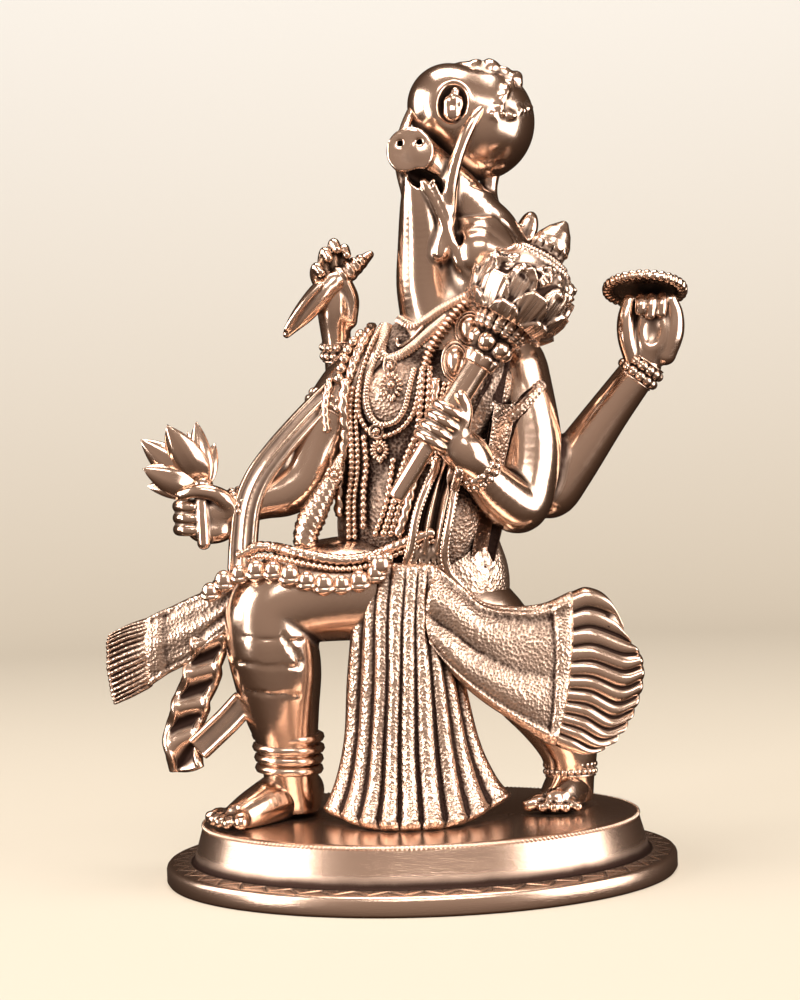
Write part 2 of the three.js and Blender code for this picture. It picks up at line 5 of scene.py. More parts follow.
import bpy
import numpy as np
import openvdb
from mathutils import Euler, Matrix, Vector


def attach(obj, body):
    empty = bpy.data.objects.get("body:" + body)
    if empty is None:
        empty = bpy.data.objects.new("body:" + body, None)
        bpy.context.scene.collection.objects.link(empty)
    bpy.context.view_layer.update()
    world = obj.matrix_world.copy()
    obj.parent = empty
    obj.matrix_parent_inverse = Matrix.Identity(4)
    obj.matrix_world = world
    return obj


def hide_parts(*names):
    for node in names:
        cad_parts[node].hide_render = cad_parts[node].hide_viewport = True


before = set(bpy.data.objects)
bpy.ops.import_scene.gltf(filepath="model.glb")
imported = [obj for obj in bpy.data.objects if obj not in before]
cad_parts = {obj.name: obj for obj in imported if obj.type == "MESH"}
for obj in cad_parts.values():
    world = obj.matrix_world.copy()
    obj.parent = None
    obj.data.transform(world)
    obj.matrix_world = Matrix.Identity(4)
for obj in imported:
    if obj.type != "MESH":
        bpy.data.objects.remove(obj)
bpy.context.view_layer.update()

MM = 0.001
FAR = 50.0
GROUND = 22.3
random.seed(7)
noise_source = np.random.default_rng(7)


# Blocks of distances, which are filled with shapes and then meshed

class Block:
    """A box of cells, each with its distance to the surface of what has been added."""

    def __init__(self, low, high, step):
        self.low = np.array(low, float)
        self.step = step
        self.count = np.ceil((np.array(high, float) - self.low) / step).astype(int) + 1
        self.values = np.full(self.count, FAR, np.float32)

    def window(self, low, high):
        """The slices of the cells between two corners, and their coordinates."""
        first = np.floor((np.array(low, float) - self.low) / self.step).astype(int)
        last = np.ceil((np.array(high, float) - self.low) / self.step).astype(int) + 1
        first = np.clip(first, 0, self.count)
        last = np.clip(last, 0, self.count)
        axes = [self.low[i] + self.step * np.arange(first[i], last[i]) for i in range(3)]
        places = np.meshgrid(*[a.astype(np.float32) for a in axes], indexing="ij", sparse=True)
        return tuple(slice(a, b) for a, b in zip(first, last)), places

    def add(self, shape, blend=1.5):
        low, high, distance = shape
        margin = blend + 3 * self.step
        where, places = self.window(low - margin, high + margin)
        if self.values[where].size:
            self.values[where] = smooth_min(self.values[where], distance(*places), blend)
        return self

    def cut(self, shape, blend=0.6):
        low, high, distance = shape
        margin = blend + 3 * self.step
        where, places = self.window(low - margin, high + margin)
        if self.values[where].size:
            self.values[where] = -smooth_min(-self.values[where], distance(*places), blend)
        return self

    def front(self, x, z):
        """The Y of the first surface met from the front at (x, z), or None."""
        i = int(round((x - self.low[0]) / self.step))
        k = int(round((z - self.low[2]) / self.step))
        if not (0 <= i < self.count[0] and 0 <= k < self.count[2]):
            return None
        inside = np.nonzero(self.values[i, :, k] < 0)[0]
        if len(inside) == 0 or inside[0] == 0:
            return None
        j = inside[0]
        before, after = self.values[i, j - 1, k], self.values[i, j, k]
        return self.low[1] + self.step * (j - 1 + before / (before - after))

    def mesh(self):
        """Points and four-sided faces on the zero surface."""
        edge = 3 * self.step
        values = np.clip(self.values, -edge, edge).astype(np.float32)
        grid = openvdb.FloatGrid(background=edge)
        grid.copyFromArray(values)
        points, triangles, quads = grid.convertToPolygons(isovalue=0.0, adaptivity=0.0)
        return points * self.step + self.low, quads.astype(np.int64)


def smooth_min(a, b, blend):
    if blend <= 0:
        return np.minimum(a, b)
    near = np.maximum(blend - np.abs(a - b), 0) / blend
    return np.minimum(a, b) - near * near * blend * 0.25


def curve(stations, steps=5):
    """A smooth run of rows through the given rows, of any number of columns."""
    rows = np.array(stations, float)
    if len(rows) < 3:
        parts = np.linspace(0, 1, steps + 1)[:, None]
        return rows[0] * (1 - parts) + rows[-1] * parts
    padded = np.vstack([2 * rows[0] - rows[1], rows, 2 * rows[-1] - rows[-2]])
    result = []
    for i in range(1, len(rows)):
        a, b, c, d = padded[i - 1], padded[i], padded[i + 1], padded[i + 2]
        for t in np.arange(steps) / steps:
            result.append(0.5 * (2 * b + (c - a) * t + (2 * a - 5 * b + 4 * c - d) * t * t
                                 + (3 * b - a - 3 * c + d) * t ** 3))
    result.append(rows[-1])
    return np.array(result)


def even(path, spacing):
    """Points an equal distance apart along a path, and how far along each is."""
    path = np.array(path, float)
    lengths = np.concatenate([[0], np.cumsum(np.linalg.norm(np.diff(path[:, :3], axis=0), axis=1))])
    count = max(2, int(round(lengths[-1] / spacing)) + 1)
    along = np.linspace(0, lengths[-1], count)
    return np.stack([np.interp(along, lengths, path[:, i]) for i in range(path.shape[1])], axis=1)


# Shapes: each is its lowest corner, its highest corner and its distance function

def cone(a, b, ra, rb):
    """A round rod from a to b, with its radius at each."""
    a, b = np.array(a, float), np.array(b, float)
    axis = b - a
    length2 = max(axis @ axis, 1e-9)
    reach = max(ra, rb)

    def distance(x, y, z):
        px, py, pz = x - a[0], y - a[1], z - a[2]
        t = np.clip((px * axis[0] + py * axis[1] + pz * axis[2]) / length2, 0, 1)
        dx, dy, dz = px - t * axis[0], py - t * axis[1], pz - t * axis[2]
        return np.sqrt(dx * dx + dy * dy + dz * dz) - (ra + (rb - ra) * t)

    return np.minimum(a, b) - reach, np.maximum(a, b) + reach, distance


def chain(block, stations, steps=6, blend=1.5):
    """Adds a smooth limb through rows of x, y, z and radius to the block."""
    rows = curve(stations, steps)
    limb = Block(rows[:, :3].min(0) - rows[:, 3].max() - 4, rows[:, :3].max(0) + rows[:, 3].max() + 4,
                 block.step)
    snap = np.round((limb.low - block.low) / block.step)
    limb.low = block.low + snap * block.step
    for i in range(len(rows) - 1):
        limb.add(cone(rows[i, :3], rows[i + 1, :3], rows[i, 3], rows[i + 1, 3]), 0)
    paste(block, limb, blend)


def paste(block, other, blend, cut=False):
    """Joins another block with the same cells to this one, or cuts it out."""
    start = np.round((other.low - block.low) / block.step).astype(int)
    first = np.maximum(start, 0)
    last = np.minimum(start + other.count, block.count)
    if (last <= first).any():
        return
    here = tuple(slice(a, b) for a, b in zip(first, last))
    there = tuple(slice(a, b) for a, b in zip(first - start, last - start))
    if cut:
        block.values[here] = -smooth_min(-block.values[here], other.values[there], blend)
    else:
        block.values[here] = smooth_min(block.values[here], other.values[there], blend)


def ball(centre, radii, turn=(0, 0, 0)):
    """An egg with three half-widths, turned by degrees about X, Y and Z."""
    centre, radii = np.array(centre, float), np.array(radii, float)
    spin = np.array(Euler([math.radians(t) for t in turn]).to_matrix())
    reach = radii.max()

    def distance(x, y, z):
        p = (x - centre[0], y - centre[1], z - centre[2])
        q = [sum(spin[j][i] * p[j] for j in range(3)) / radii[i] for i in range(3)]
        near = np.sqrt(q[0] ** 2 + q[1] ** 2 + q[2] ** 2)
        slope = np.sqrt(sum((q[i] / radii[i]) ** 2 for i in range(3)))
        return near * (near - 1) / np.maximum(slope, 1e-6)

    return centre - reach, centre + reach, distance


def tower(rows, steps=6, power=2.0):
    """An upright form through ovals of x, y, z, half width and half depth, lowest first."""
    rows = curve(rows, steps)
    low = np.array([(rows[:, 0] - rows[:, 3]).min(), (rows[:, 1] - rows[:, 4]).min(), rows[0, 2]])
    high = np.array([(rows[:, 0] + rows[:, 3]).max(), (rows[:, 1] + rows[:, 4]).max(), rows[-1, 2]])

    def distance(x, y, z):
        cx, cy, hw, hd = [np.interp(z, rows[:, 2], rows[:, i]).astype(np.float32) for i in (0, 1, 3, 4)]
        u, v = np.abs(x - cx) / hw, np.abs(y - cy) / hd
        near = (u ** power + v ** power) ** (1 / power)
        slope = np.sqrt((u / hw) ** 2 + (v / hd) ** 2)
        side = near * (near - 1) / np.maximum(slope, 1e-4)
        ends = np.maximum(rows[0, 2] - z, z - rows[-1, 2])
        return np.maximum(side, ends)

    return low, high, distance


def hoop(centre, axis, radius, thickness, wide=1.0):
    """A ring round an axis. wide stretches it along the axis."""
    centre = np.array(centre, float)
    axis = np.array(axis, float) / np.linalg.norm(axis)
    reach = radius + thickness * max(1, wide)

    def distance(x, y, z):
        px, py, pz = x - centre[0], y - centre[1], z - centre[2]
        up = px * axis[0] + py * axis[1] + pz * axis[2]
        out = np.sqrt(np.maximum(px * px + py * py + pz * pz - up * up, 0)) - radius
        return np.sqrt(out * out + (up / wide) ** 2) - thickness

    return centre - reach, centre + reach, distance


def groove(block, path, radius, blend=0.5):
    """Presses a line of the given radius into a block's surface."""
    for a, b in zip(path[:-1], path[1:]):
        block.cut(cone(a, b, radius, radius), blend)


# Meshes made directly from rows of points

class Shell:
    """Points and faces that are gathered for one piece."""

    def __init__(self):
        self.points, self.quads, self.triangles, self.count = [], [], [], 0

    def take(self, points, quads=(), triangles=()):
        """Adds one closed form, turned right side out."""
        points = np.asarray(points, float).reshape(-1, 3)
        quads = np.asarray(quads, np.int64).reshape(-1, 4)
        triangles = np.asarray(triangles, np.int64).reshape(-1, 3)
        corners = np.vstack([quads[:, [0, 1, 2]], quads[:, [0, 2, 3]], triangles])
        a, b, c = (points[corners[:, i]] - points[0] for i in range(3))
        if (a * np.cross(b, c)).sum() < 0:
            quads, triangles = quads[:, ::-1], triangles[:, ::-1]
        self.points.append(points)
        self.quads.append(quads + self.count)
        self.triangles.append(triangles + self.count)
        self.count += len(points)
        return self


def grid_faces(rows, columns, wrap=False):
    """Faces between neighbouring points of a grid, the columns closed into rings if wrap."""
    across = columns if wrap else columns - 1
    i, j = np.meshgrid(np.arange(rows - 1), np.arange(across), indexing="ij")
    k = (j + 1) % columns
    return np.stack([i * columns + j, i * columns + k, (i + 1) * columns + k, (i + 1) * columns + j],
                    axis=-1).reshape(-1, 4)


def frames(path):
    """The direction and two sideways axes at each point of a path."""
    path = np.array(path, float)
    way = np.gradient(path, axis=0)
    way /= np.maximum(np.linalg.norm(way, axis=1, keepdims=True), 1e-9)
    side = np.cross(way[0], (0, 0, 1) if abs(way[0][2]) < 0.9 else (0, 1, 0))
    sides = []
    for direction in way:
        side = side - direction * (side @ direction)
        side = side / max(np.linalg.norm(side), 1e-9)
        sides.append(side)
    sides = np.array(sides)
    return way, sides, np.cross(way, sides)


def tube(shell, path, radii, around=8, turns=0.0, lobes=0, depth=0.0):
    """A closed rod along a path. With lobes it is a twisted rope of that many strands."""
    path = np.array(path, float)
    radii = np.broadcast_to(np.asarray(radii, float), (len(path),))
    way, side, up = frames(path)
    angle = np.linspace(0, 2 * math.pi, around, endpoint=False)
    spin = np.linspace(0, 2 * math.pi * turns, len(path))[:, None]
    reach = radii[:, None] * (1 - depth + depth * np.abs(np.cos((angle[None] + spin) * lobes / 2)) * 2
                              if lobes else np.ones_like(angle)[None])
    ring = (path[:, None] + reach[..., None] * (np.cos(angle)[None, :, None] * side[:, None]
                                                + np.sin(angle)[None, :, None] * up[:, None]))
    points = np.vstack([ring.reshape(-1, 3), path[0] - way[0] * radii[0] * 0.5, path[-1] + way[-1] * radii[-1] * 0.5])
    n, m = len(path), around
    j = np.arange(m)
    first = np.stack([np.full(m, n * m), (j + 1) % m, j], axis=-1)
    last = np.stack([np.full(m, n * m + 1), (n - 1) * m + j, (n - 1) * m + (j + 1) % m], axis=-1)
    return shell.take(points, grid_faces(n, m, True), np.vstack([first, last]))


def sphere_points(rows=6, columns=10):
    """A ball of radius 1 with its faces."""
    polar = np.linspace(0, math.pi, rows + 1)[1:-1]
    turn = np.linspace(0, 2 * math.pi, columns, endpoint=False)
    ring = np.stack([np.sin(polar)[:, None] * np.cos(turn), np.sin(polar)[:, None] * np.sin(turn),
                     np.cos(polar)[:, None] * np.ones(columns)], axis=-1).reshape(-1, 3)
    points = np.vstack([ring, [0, 0, 1], [0, 0, -1]])
    j = np.arange(columns)
    top = len(ring)
    start = (rows - 2) * columns
    caps = np.vstack([np.stack([np.full(columns, top), j, (j + 1) % columns], -1),
                      np.stack([np.full(columns, top + 1), start + (j + 1) % columns, start + j], -1)])
    return points, grid_faces(rows - 1, columns, True)[:, ::-1], caps


SMALL_BALL = sphere_points(5, 8)
ROUND_BALL = sphere_points(10, 16)


def bead(shell, centre, radii, axis=None, fine=False):
    """One bead, with its third half-width along the axis."""
    points, quads, caps = ROUND_BALL if fine else SMALL_BALL
    radii = np.broadcast_to(np.asarray(radii, float), (3,))
    points = points * radii
    if axis is not None:
        turn = Vector(axis).to_track_quat("Z", "Y").to_matrix()
        points = points @ np.array(turn).T
    return shell.take(points + np.array(centre), quads, caps)


def beads(shell, path, radius, spacing=None, long=1.0, fine=False):
    """A string of beads along a path."""
    spots = even(path, spacing or radius * 1.9)
    ways = np.gradient(spots, axis=0)
    for spot, way in zip(spots, ways):
        bead(shell, spot, (radius, radius, radius * long), way, fine)
    return shell


def turned(shell, start, axis, profile, spacing, around, relief=None, wide=1.0, front=(0, -1, 0)):
    """A form turned about an axis through a profile of distance along it and radius.

    relief gives a height from the distance, the radius and the angle; wide stretches it sideways."""
    axis, front, side = frame_of(axis, front)
    path = even([(along, radius, 0) for along, radius in profile], spacing)[:, :2]
    way = np.gradient(path, axis=0)
    way /= np.maximum(np.linalg.norm(way, axis=1, keepdims=True), 1e-9)
    turn = np.linspace(0, 2 * math.pi, around, endpoint=False)
    along, turns = np.broadcast_arrays(path[:, :1], turn[None])
    radius = np.broadcast_to(path[:, 1:], along.shape)
    if relief is not None:
        height = relief(along, radius, turns) * np.clip(radius / 2, 0, 1)
        along, radius = along - height * way[:, 1:], radius + height * way[:, :1]
    radius = radius[..., None]
    points = (np.array(start, float) + axis * along[..., None]
              + radius * (np.cos(turns)[..., None] * side * wide + np.sin(turns)[..., None] * front))
    return shell.take(points.reshape(-1, 3), grid_faces(len(path), around, True))


def frame_of(axis, front=(0, -1, 0)):
    """Unit vectors along a rod, towards the viewer and to the side."""
    axis = np.array(axis, float) / np.linalg.norm(axis)
    front = np.array(front, float)
    front = front - axis * (front @ axis)
    front /= np.linalg.norm(front)
    return axis, front, np.cross(front, axis)


def mark(height, gap, width):
    """A rounded ridge of a height and half-width, at a gap from its middle."""
    return height * np.exp(-(gap / width) ** 2)


def wave(turns, count, power=0.5):
    """Round bumps from 0 to 1, count of them in a full turn."""
    return np.abs(np.sin(turns * count / 2)) ** power


def net(rows, down, across):
    """A smooth grid of points through a few rows of a few points each."""
    rows = np.array([curve(row, 12) for row in rows])
    u = np.linspace(0, len(rows) - 1, down)
    steps = 12
    dense = curve(rows.reshape(len(rows), -1), steps)
    place = u * steps
    low = np.clip(np.floor(place).astype(int), 0, len(dense) - 2)
    part = (place - low)[:, None]
    lines = (dense[low] * (1 - part) + dense[low + 1] * part).reshape(down, -1, 3)
    v = np.linspace(0, lines.shape[1] - 1, across)
    left = np.clip(np.floor(v).astype(int), 0, lines.shape[1] - 2)
    share = (v - left)[None, :, None]
    return lines[:, left] * (1 - share) + lines[:, left + 1] * share


def normals(grid):
    """Unit normals of a grid of points, towards the front."""
    out = np.cross(np.gradient(grid, axis=1), np.gradient(grid, axis=0))
    out /= np.maximum(np.linalg.norm(out, axis=2, keepdims=True), 1e-9)
    return out


def cloth(shell, grid, thickness, relief, front=(0, -1, 0)):
    """A sheet of cast cloth: its front follows the relief, its back is plain and its edge is round."""
    out = normals(grid)
    if (out.mean((0, 1)) @ np.array(front)) < 0:
        out = -out
    down, across = grid.shape[:2]
    u, v = np.meshgrid(np.linspace(0, 1, down), np.linspace(0, 1, across), indexing="ij")
    top = grid + out * relief(u, v, grid)[..., None]
    bottom = grid - out * thickness
    inward = np.zeros_like(grid)
    inward[0] += top[1] - top[0]
    inward[-1] += top[-2] - top[-1]
    inward[:, 0] += top[:, 1] - top[:, 0]
    inward[:, -1] += top[:, -2] - top[:, -1]
    loop = np.concatenate([np.arange(across), np.arange(1, down) * across + across - 1,
                           (down - 1) * across + np.arange(across - 2, -1, -1),
                           np.arange(down - 2, 0, -1) * across])
    high, low, away = (p.reshape(-1, 3)[loop] for p in (top, bottom, -inward))
    away /= np.maximum(np.linalg.norm(away, axis=1, keepdims=True), 1e-9)
    size = down * across
    points = [top.reshape(-1, 3), bottom.reshape(-1, 3)]
    lines = [loop]
    for k, turn in enumerate(np.radians((40, 65, 90, 115, 140))):
        points.append((high + low) / 2 + (high - low) / 2 * math.cos(turn) + away * thickness * 0.3 * math.sin(turn))
        lines.append(2 * size + k * len(loop) + np.arange(len(loop)))
    lines.append(loop + size)
    rim = [np.stack([a, np.roll(a, -1), np.roll(b, -1), b], -1) for a, b in zip(lines[:-1], lines[1:])]
    faces = grid_faces(down, across)
    return shell.take(np.vstack(points), np.vstack([faces[:, ::-1], faces + size] + rim))


def line_gap(grid, places):
    """How far each point of a grid lies from a line through X and Z places, seen from the front."""
    path = curve(places, 6)
    flat = grid[..., [0, 2]]
    best = np.full(flat.shape[:2], np.inf)
    for a, b in zip(path[:-1], path[1:]):
        way = b - a
        t = np.clip(((flat - a) @ way) / max(way @ way, 1e-9), 0, 1)
        best = np.minimum(best, np.linalg.norm(flat - a - t[..., None] * way, axis=-1))
    return best


def hollow_of(points, edges, rounds=16):
    """How far each point lies below the smoothed surface, in millimetres."""
    smoothed = points.copy()
    count = np.maximum(np.bincount(edges.ravel(), minlength=len(points)), 1)[:, None]
    for _ in range(rounds):
        total = np.zeros_like(points)
        for axis in range(3):
            total[:, axis] = (np.bincount(edges[:, 0], smoothed[edges[:, 1], axis], len(points))
                              + np.bincount(edges[:, 1], smoothed[edges[:, 0], axis], len(points)))
        smoothed = 0.4 * smoothed + 0.6 * total / count
    return smoothed - points


def piece(name, shell, material, node="figure"):
    """Makes a Blender object of a shell or block, with its hollows stored for the patina."""
    if isinstance(shell, Block):
        shell = Shell().take(*shell.mesh())
    points = np.vstack(shell.points)
    quads, triangles = np.vstack(shell.quads), np.vstack(shell.triangles)
    mesh = bpy.data.meshes.new(name)
    mesh.vertices.add(len(points))
    mesh.vertices.foreach_set("co", (points * MM).astype(np.float32).ravel())
    mesh.loops.add(quads.size + triangles.size)
    mesh.loops.foreach_set("vertex_index", np.concatenate([quads.ravel(), triangles.ravel()]).astype(np.int32))
    mesh.polygons.add(len(quads) + len(triangles))
    starts = np.concatenate([np.arange(len(quads)) * 4, quads.size + np.arange(len(triangles)) * 3])
    mesh.polygons.foreach_set("loop_start", starts.astype(np.int32))
    mesh.update(calc_edges=True)
    mesh.validate()
    mesh.polygons.foreach_set("use_smooth", np.ones(len(mesh.polygons), bool))
    store_hollow(mesh)
    item = bpy.data.objects.new(name, mesh)
    bpy.context.scene.collection.objects.link(item)
    mesh.materials.append(material)
    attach(item, "root")
    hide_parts(node)
    print("piece", name, "triangles", 2 * len(quads) + len(triangles))
    return item


def store_hollow(mesh):
    points = np.zeros(len(mesh.vertices) * 3, np.float32)
    mesh.vertices.foreach_get("co", points)
    out = np.zeros(len(mesh.vertices) * 3, np.float32)
    mesh.vertices.foreach_get("normal", out)
    edges = np.zeros(len(mesh.edges) * 2, np.int32)
    mesh.edges.foreach_get("vertices", edges)
    points = points.reshape(-1, 3).astype(float) / MM
    shift = hollow_of(points, edges.reshape(-1, 2))
    depth = (shift * out.reshape(-1, 3)).sum(1)
    layer = mesh.attributes.new("hollow", "FLOAT", "POINT")
    layer.data.foreach_set("value", depth.astype(np.float32))


# Materials

def link_math(tree, kind, a, b):
    """A Math node over two numbers or sockets."""
    node = tree.nodes.new("ShaderNodeMath")
    node.operation = kind
    for slot, value in zip(node.inputs, (a, b)):
        if isinstance(value, (int, float)):
            slot.default_value = value
        else:
            tree.links.new(value, slot)
    return node.outputs[0]


def link_noise(tree, vector, scale, detail):
    node = tree.nodes.new("ShaderNodeTexNoise")
    node.inputs["Scale"].default_value = scale
    node.inputs["Detail"].default_value = detail
    tree.links.new(vector, node.inputs["Vector"])
    return node.outputs["Fac"]


def link_ramp(tree, value, stops):
    """A colour ramp over a value, through stops of position and colour."""
    node = tree.nodes.new("ShaderNodeValToRGB")
    elements = node.color_ramp.elements
    elements[0].position, elements[1].position = stops[0][0], stops[-1][0]
    for position, _ in stops[1:-1]:
        elements.new(position)
    for element, (_, colour) in zip(elements, stops):
        element.color = (*colour, 1)
    tree.links.new(value, node.inputs["Fac"])
    return node.outputs["Color"]


def link_bump(tree, height, depth, normal=None):
    """Bumps of a depth in millimetres, on top of another normal if one is given."""
    node = tree.nodes.new("ShaderNodeBump")
    node.inputs["Strength"].default_value = 1.0
    node.inputs["Distance"].default_value = depth * MM
    tree.links.new(height, node.inputs["Height"])
    if normal is not None:
        tree.links.new(normal, node.inputs["Normal"])
    return node.outputs["Normal"]


def link_grain(tree, vector, scale, stretch):
    """Noise for small bumps, drawn out along the axes where stretch is small."""
    mapping = tree.nodes.new("ShaderNodeMapping")
    mapping.inputs["Scale"].default_value = stretch
    tree.links.new(vector, mapping.inputs["Vector"])
    return link_noise(tree, mapping.outputs["Vector"], scale, 4)


def link_patina_and_shade(tree, vector, patina, ground):
    """How dark the surface is: patina in its hollows, painted shade from ambient occlusion in its closed corners and
    between parts, and some clouds.
    """
    hollow = tree.nodes.new("ShaderNodeAttribute")
    hollow.attribute_name = "hollow"
    # Ambient occlusion: painted shade, darker where parts close in on each other, added to the patina of the hollows.
    shade = tree.nodes.new("ShaderNodeAmbientOcclusion")
    shade.samples = 4
    shade.inputs["Distance"].default_value = SHADE_REACH * MM
    closed = link_math(tree, "SUBTRACT", 1.0, shade.outputs["AO"])
    closed = link_math(tree, "POWER", closed, 1.3)
    pit = link_math(tree, "MULTIPLY", hollow.outputs["Fac"], patina)
    cloud = link_noise(tree, vector, 80, 6)
    spots = link_math(tree, "MULTIPLY", link_math(tree, "SUBTRACT", cloud, 0.5), 0.45)
    level = link_math(tree, "ADD", spots, ground)
    return link_math(tree, "ADD", link_math(tree, "ADD", pit, closed), level)


def link_cells(tree, vector, scale):
    """Distance from the nearest of many scattered points."""
    node = tree.nodes.new("ShaderNodeTexVoronoi")
    node.inputs["Scale"].default_value = scale
    tree.links.new(vector, node.inputs["Vector"])
    return node.outputs["Distance"]


def shader(name, bright, rough, patina, ground, grain=(160, (1, 1, 1)), bump=0.1, pits=0.0):
    """Cast brass: bright where it is rubbed, dark with patina in its hollows, and darkened by painted shade in closed
    corners.

    patina is how fast a hollow darkens, ground how dark the level surface is, grain the scale
    and stretch of the small bumps, bump their depth and pits the depth of punched dots.
    """
    material = bpy.data.materials.new(name)
    material.use_nodes = True
    tree = material.node_tree
    bsdf = tree.nodes["Principled BSDF"]
    bsdf.inputs["Metallic"].default_value = 1.0
    vector = tree.nodes.new("ShaderNodeTexCoord").outputs["Object"]
    patina_and_shade = link_patina_and_shade(tree, vector, patina, ground)
    normal = link_bump(tree, link_grain(tree, vector, *grain), bump)
    if pits:
        cells = link_cells(tree, vector, PIT_SCALE)
        patina_and_shade = link_math(tree, "ADD", patina_and_shade, link_math(tree, "MULTIPLY", cells, -0.5))
        patina_and_shade = link_math(tree, "ADD", patina_and_shade, 0.2)
        normal = link_bump(tree, cells, pits, normal)
    middle = tuple(0.42 * b + 0.58 * d for b, d in zip(bright, PATINA_AND_SHADE))
    # The colour ramp runs from rubbed brass to patina; its dark end holds both patina in hollows and painted shade in
    # closed corners.
    colour = link_ramp(tree, patina_and_shade, [(0.05, bright), (0.36, middle), (0.80, PATINA_AND_SHADE)])
    tree.links.new(colour, bsdf.inputs["Base Color"])
    gloss = tree.nodes.new("ShaderNodeMapRange")
    gloss.inputs["From Max"].default_value = 0.8
    gloss.inputs["To Min"].default_value = rough
    gloss.inputs["To Max"].default_value = 0.60
    tree.links.new(patina_and_shade, gloss.inputs["Value"])
    tree.links.new(gloss.outputs["Result"], bsdf.inputs["Roughness"])
    tree.links.new(normal, bsdf.inputs["Normal"])
    return material


SHADE_REACH = 6.0
PIT_SCALE = 850
BRASS = (0.74, 0.535, 0.415)
# The dark end of the brass colour ramp: patina, and also the colour of painted shade in closed corners.
PATINA_AND_SHADE = (0.040, 0.022, 0.017)
smooth_brass = shader("smooth_brass", BRASS, 0.17, 1.7, 0.0, bump=0.08)
ornament_brass = shader("ornament_brass", BRASS, 0.22, 2.4, 0.10, (500, (1, 1, 1)), 0.08)
cloth_brass = shader("cloth_brass", BRASS, 0.28, 2.2, 0.30, (420, (1, 1, 1)), 0.06, pits=0.3)
ground_brass = shader("ground_brass", BRASS, 0.36, 1.6, 0.56, (420, (1, 1, 1)), 0.3, pits=0.7)
drum_brass = shader("drum_brass", BRASS, 0.25, 1.6, 0.06, (260, (1, 1, 12)), 0.05)


# The camera, the lights and the floor

CAMERA_PLACE = (-0.0039, -0.654, 0.1432)
CAMERA_ROLL = 1.9
CAMERA_LENS = 60.98
PALE = (0.97, 0.93, 0.86)
LAMPS = [
    {"name": "left_strip", "place": (-0.98, -0.64, 0.30), "size": (0.20, 1.1), "power": 11},
    {"name": "left_wide", "place": (-1.15, -0.10, 0.55), "size": (0.7, 0.9), "power": 10},
    {"name": "right_wide", "place": (1.05, -0.50, 0.32), "size": (0.95, 1.1), "power": 16},
    {"name": "front", "place": (0.10, -1.25, 1.00), "size": (0.9, 0.35), "power": 8},
    {"name": "top", "place": (0.0, -0.1, 1.25), "size": (0.8, 0.5), "power": 12},
]


def studio():
    """The camera at the photograph's angle, the lamps, the surroundings and the floor."""
    camera = bpy.data.cameras.new("camera")
    camera.sensor_width = 36
    camera.lens = CAMERA_LENS
    camera.clip_start = 0.01
    item = bpy.data.objects.new("camera", camera)
    item.location = CAMERA_PLACE
    item.rotation_euler = (math.radians(90), math.radians(CAMERA_ROLL), 0)
    bpy.context.scene.collection.objects.link(item)
    bpy.context.scene.camera = item
    for lamp in LAMPS:
        hang_lamp(**lamp)
    surround()
    floor()


def hang_lamp(name, place, size, power):
    """A soft rectangular lamp that points at the statue."""
    lamp = bpy.data.lights.new(name, "AREA")
    lamp.shape = "RECTANGLE"
    lamp.size, lamp.size_y = size
    lamp.energy = power
    lamp.color = (1.0, 0.95, 0.90)
    holder = bpy.data.objects.new(name, lamp)
    holder.location = place
    aim = Vector((0, 0, 0.14)) - Vector(place)
    holder.rotation_euler = aim.to_track_quat("-Z", "Y").to_euler()
    bpy.context.scene.collection.objects.link(holder)


def surround():
    """A studio that is dim behind the statue and lighter towards the front; its backdrop looks pale."""
    world = bpy.data.worlds.new("studio")
    world.use_nodes = True
    tree = world.node_tree
    way = tree.nodes.new("ShaderNodeTexCoord").outputs["Generated"]
    split = tree.nodes.new("ShaderNodeSeparateXYZ")
    tree.links.new(way, split.inputs[0])
    facing = link_math(tree, "MULTIPLY", split.outputs["Y"], -0.5)
    facing = link_math(tree, "ADD", facing, 0.5)
    height = link_math(tree, "MULTIPLY", split.outputs["Z"], 0.25)
    level = link_math(tree, "ADD", facing, height)
    colour = link_ramp(tree, level, [(0.0, (0.03, 0.018, 0.012)), (0.45, (0.10, 0.065, 0.045)),
                                     (1.0, (0.40, 0.32, 0.27))])
    seen = tree.nodes.new("ShaderNodeLightPath").outputs["Is Camera Ray"]
    choose = tree.nodes.new("ShaderNodeMix")
    choose.data_type = "RGBA"
    tree.links.new(seen, choose.inputs["Factor"])
    tree.links.new(colour, choose.inputs["A"])
    choose.inputs["B"].default_value = (*PALE, 1)
    tree.links.new(choose.outputs["Result"], tree.nodes["Background"].inputs["Color"])
    bpy.context.scene.world = world
    bpy.context.scene.view_settings.view_transform = "Standard"


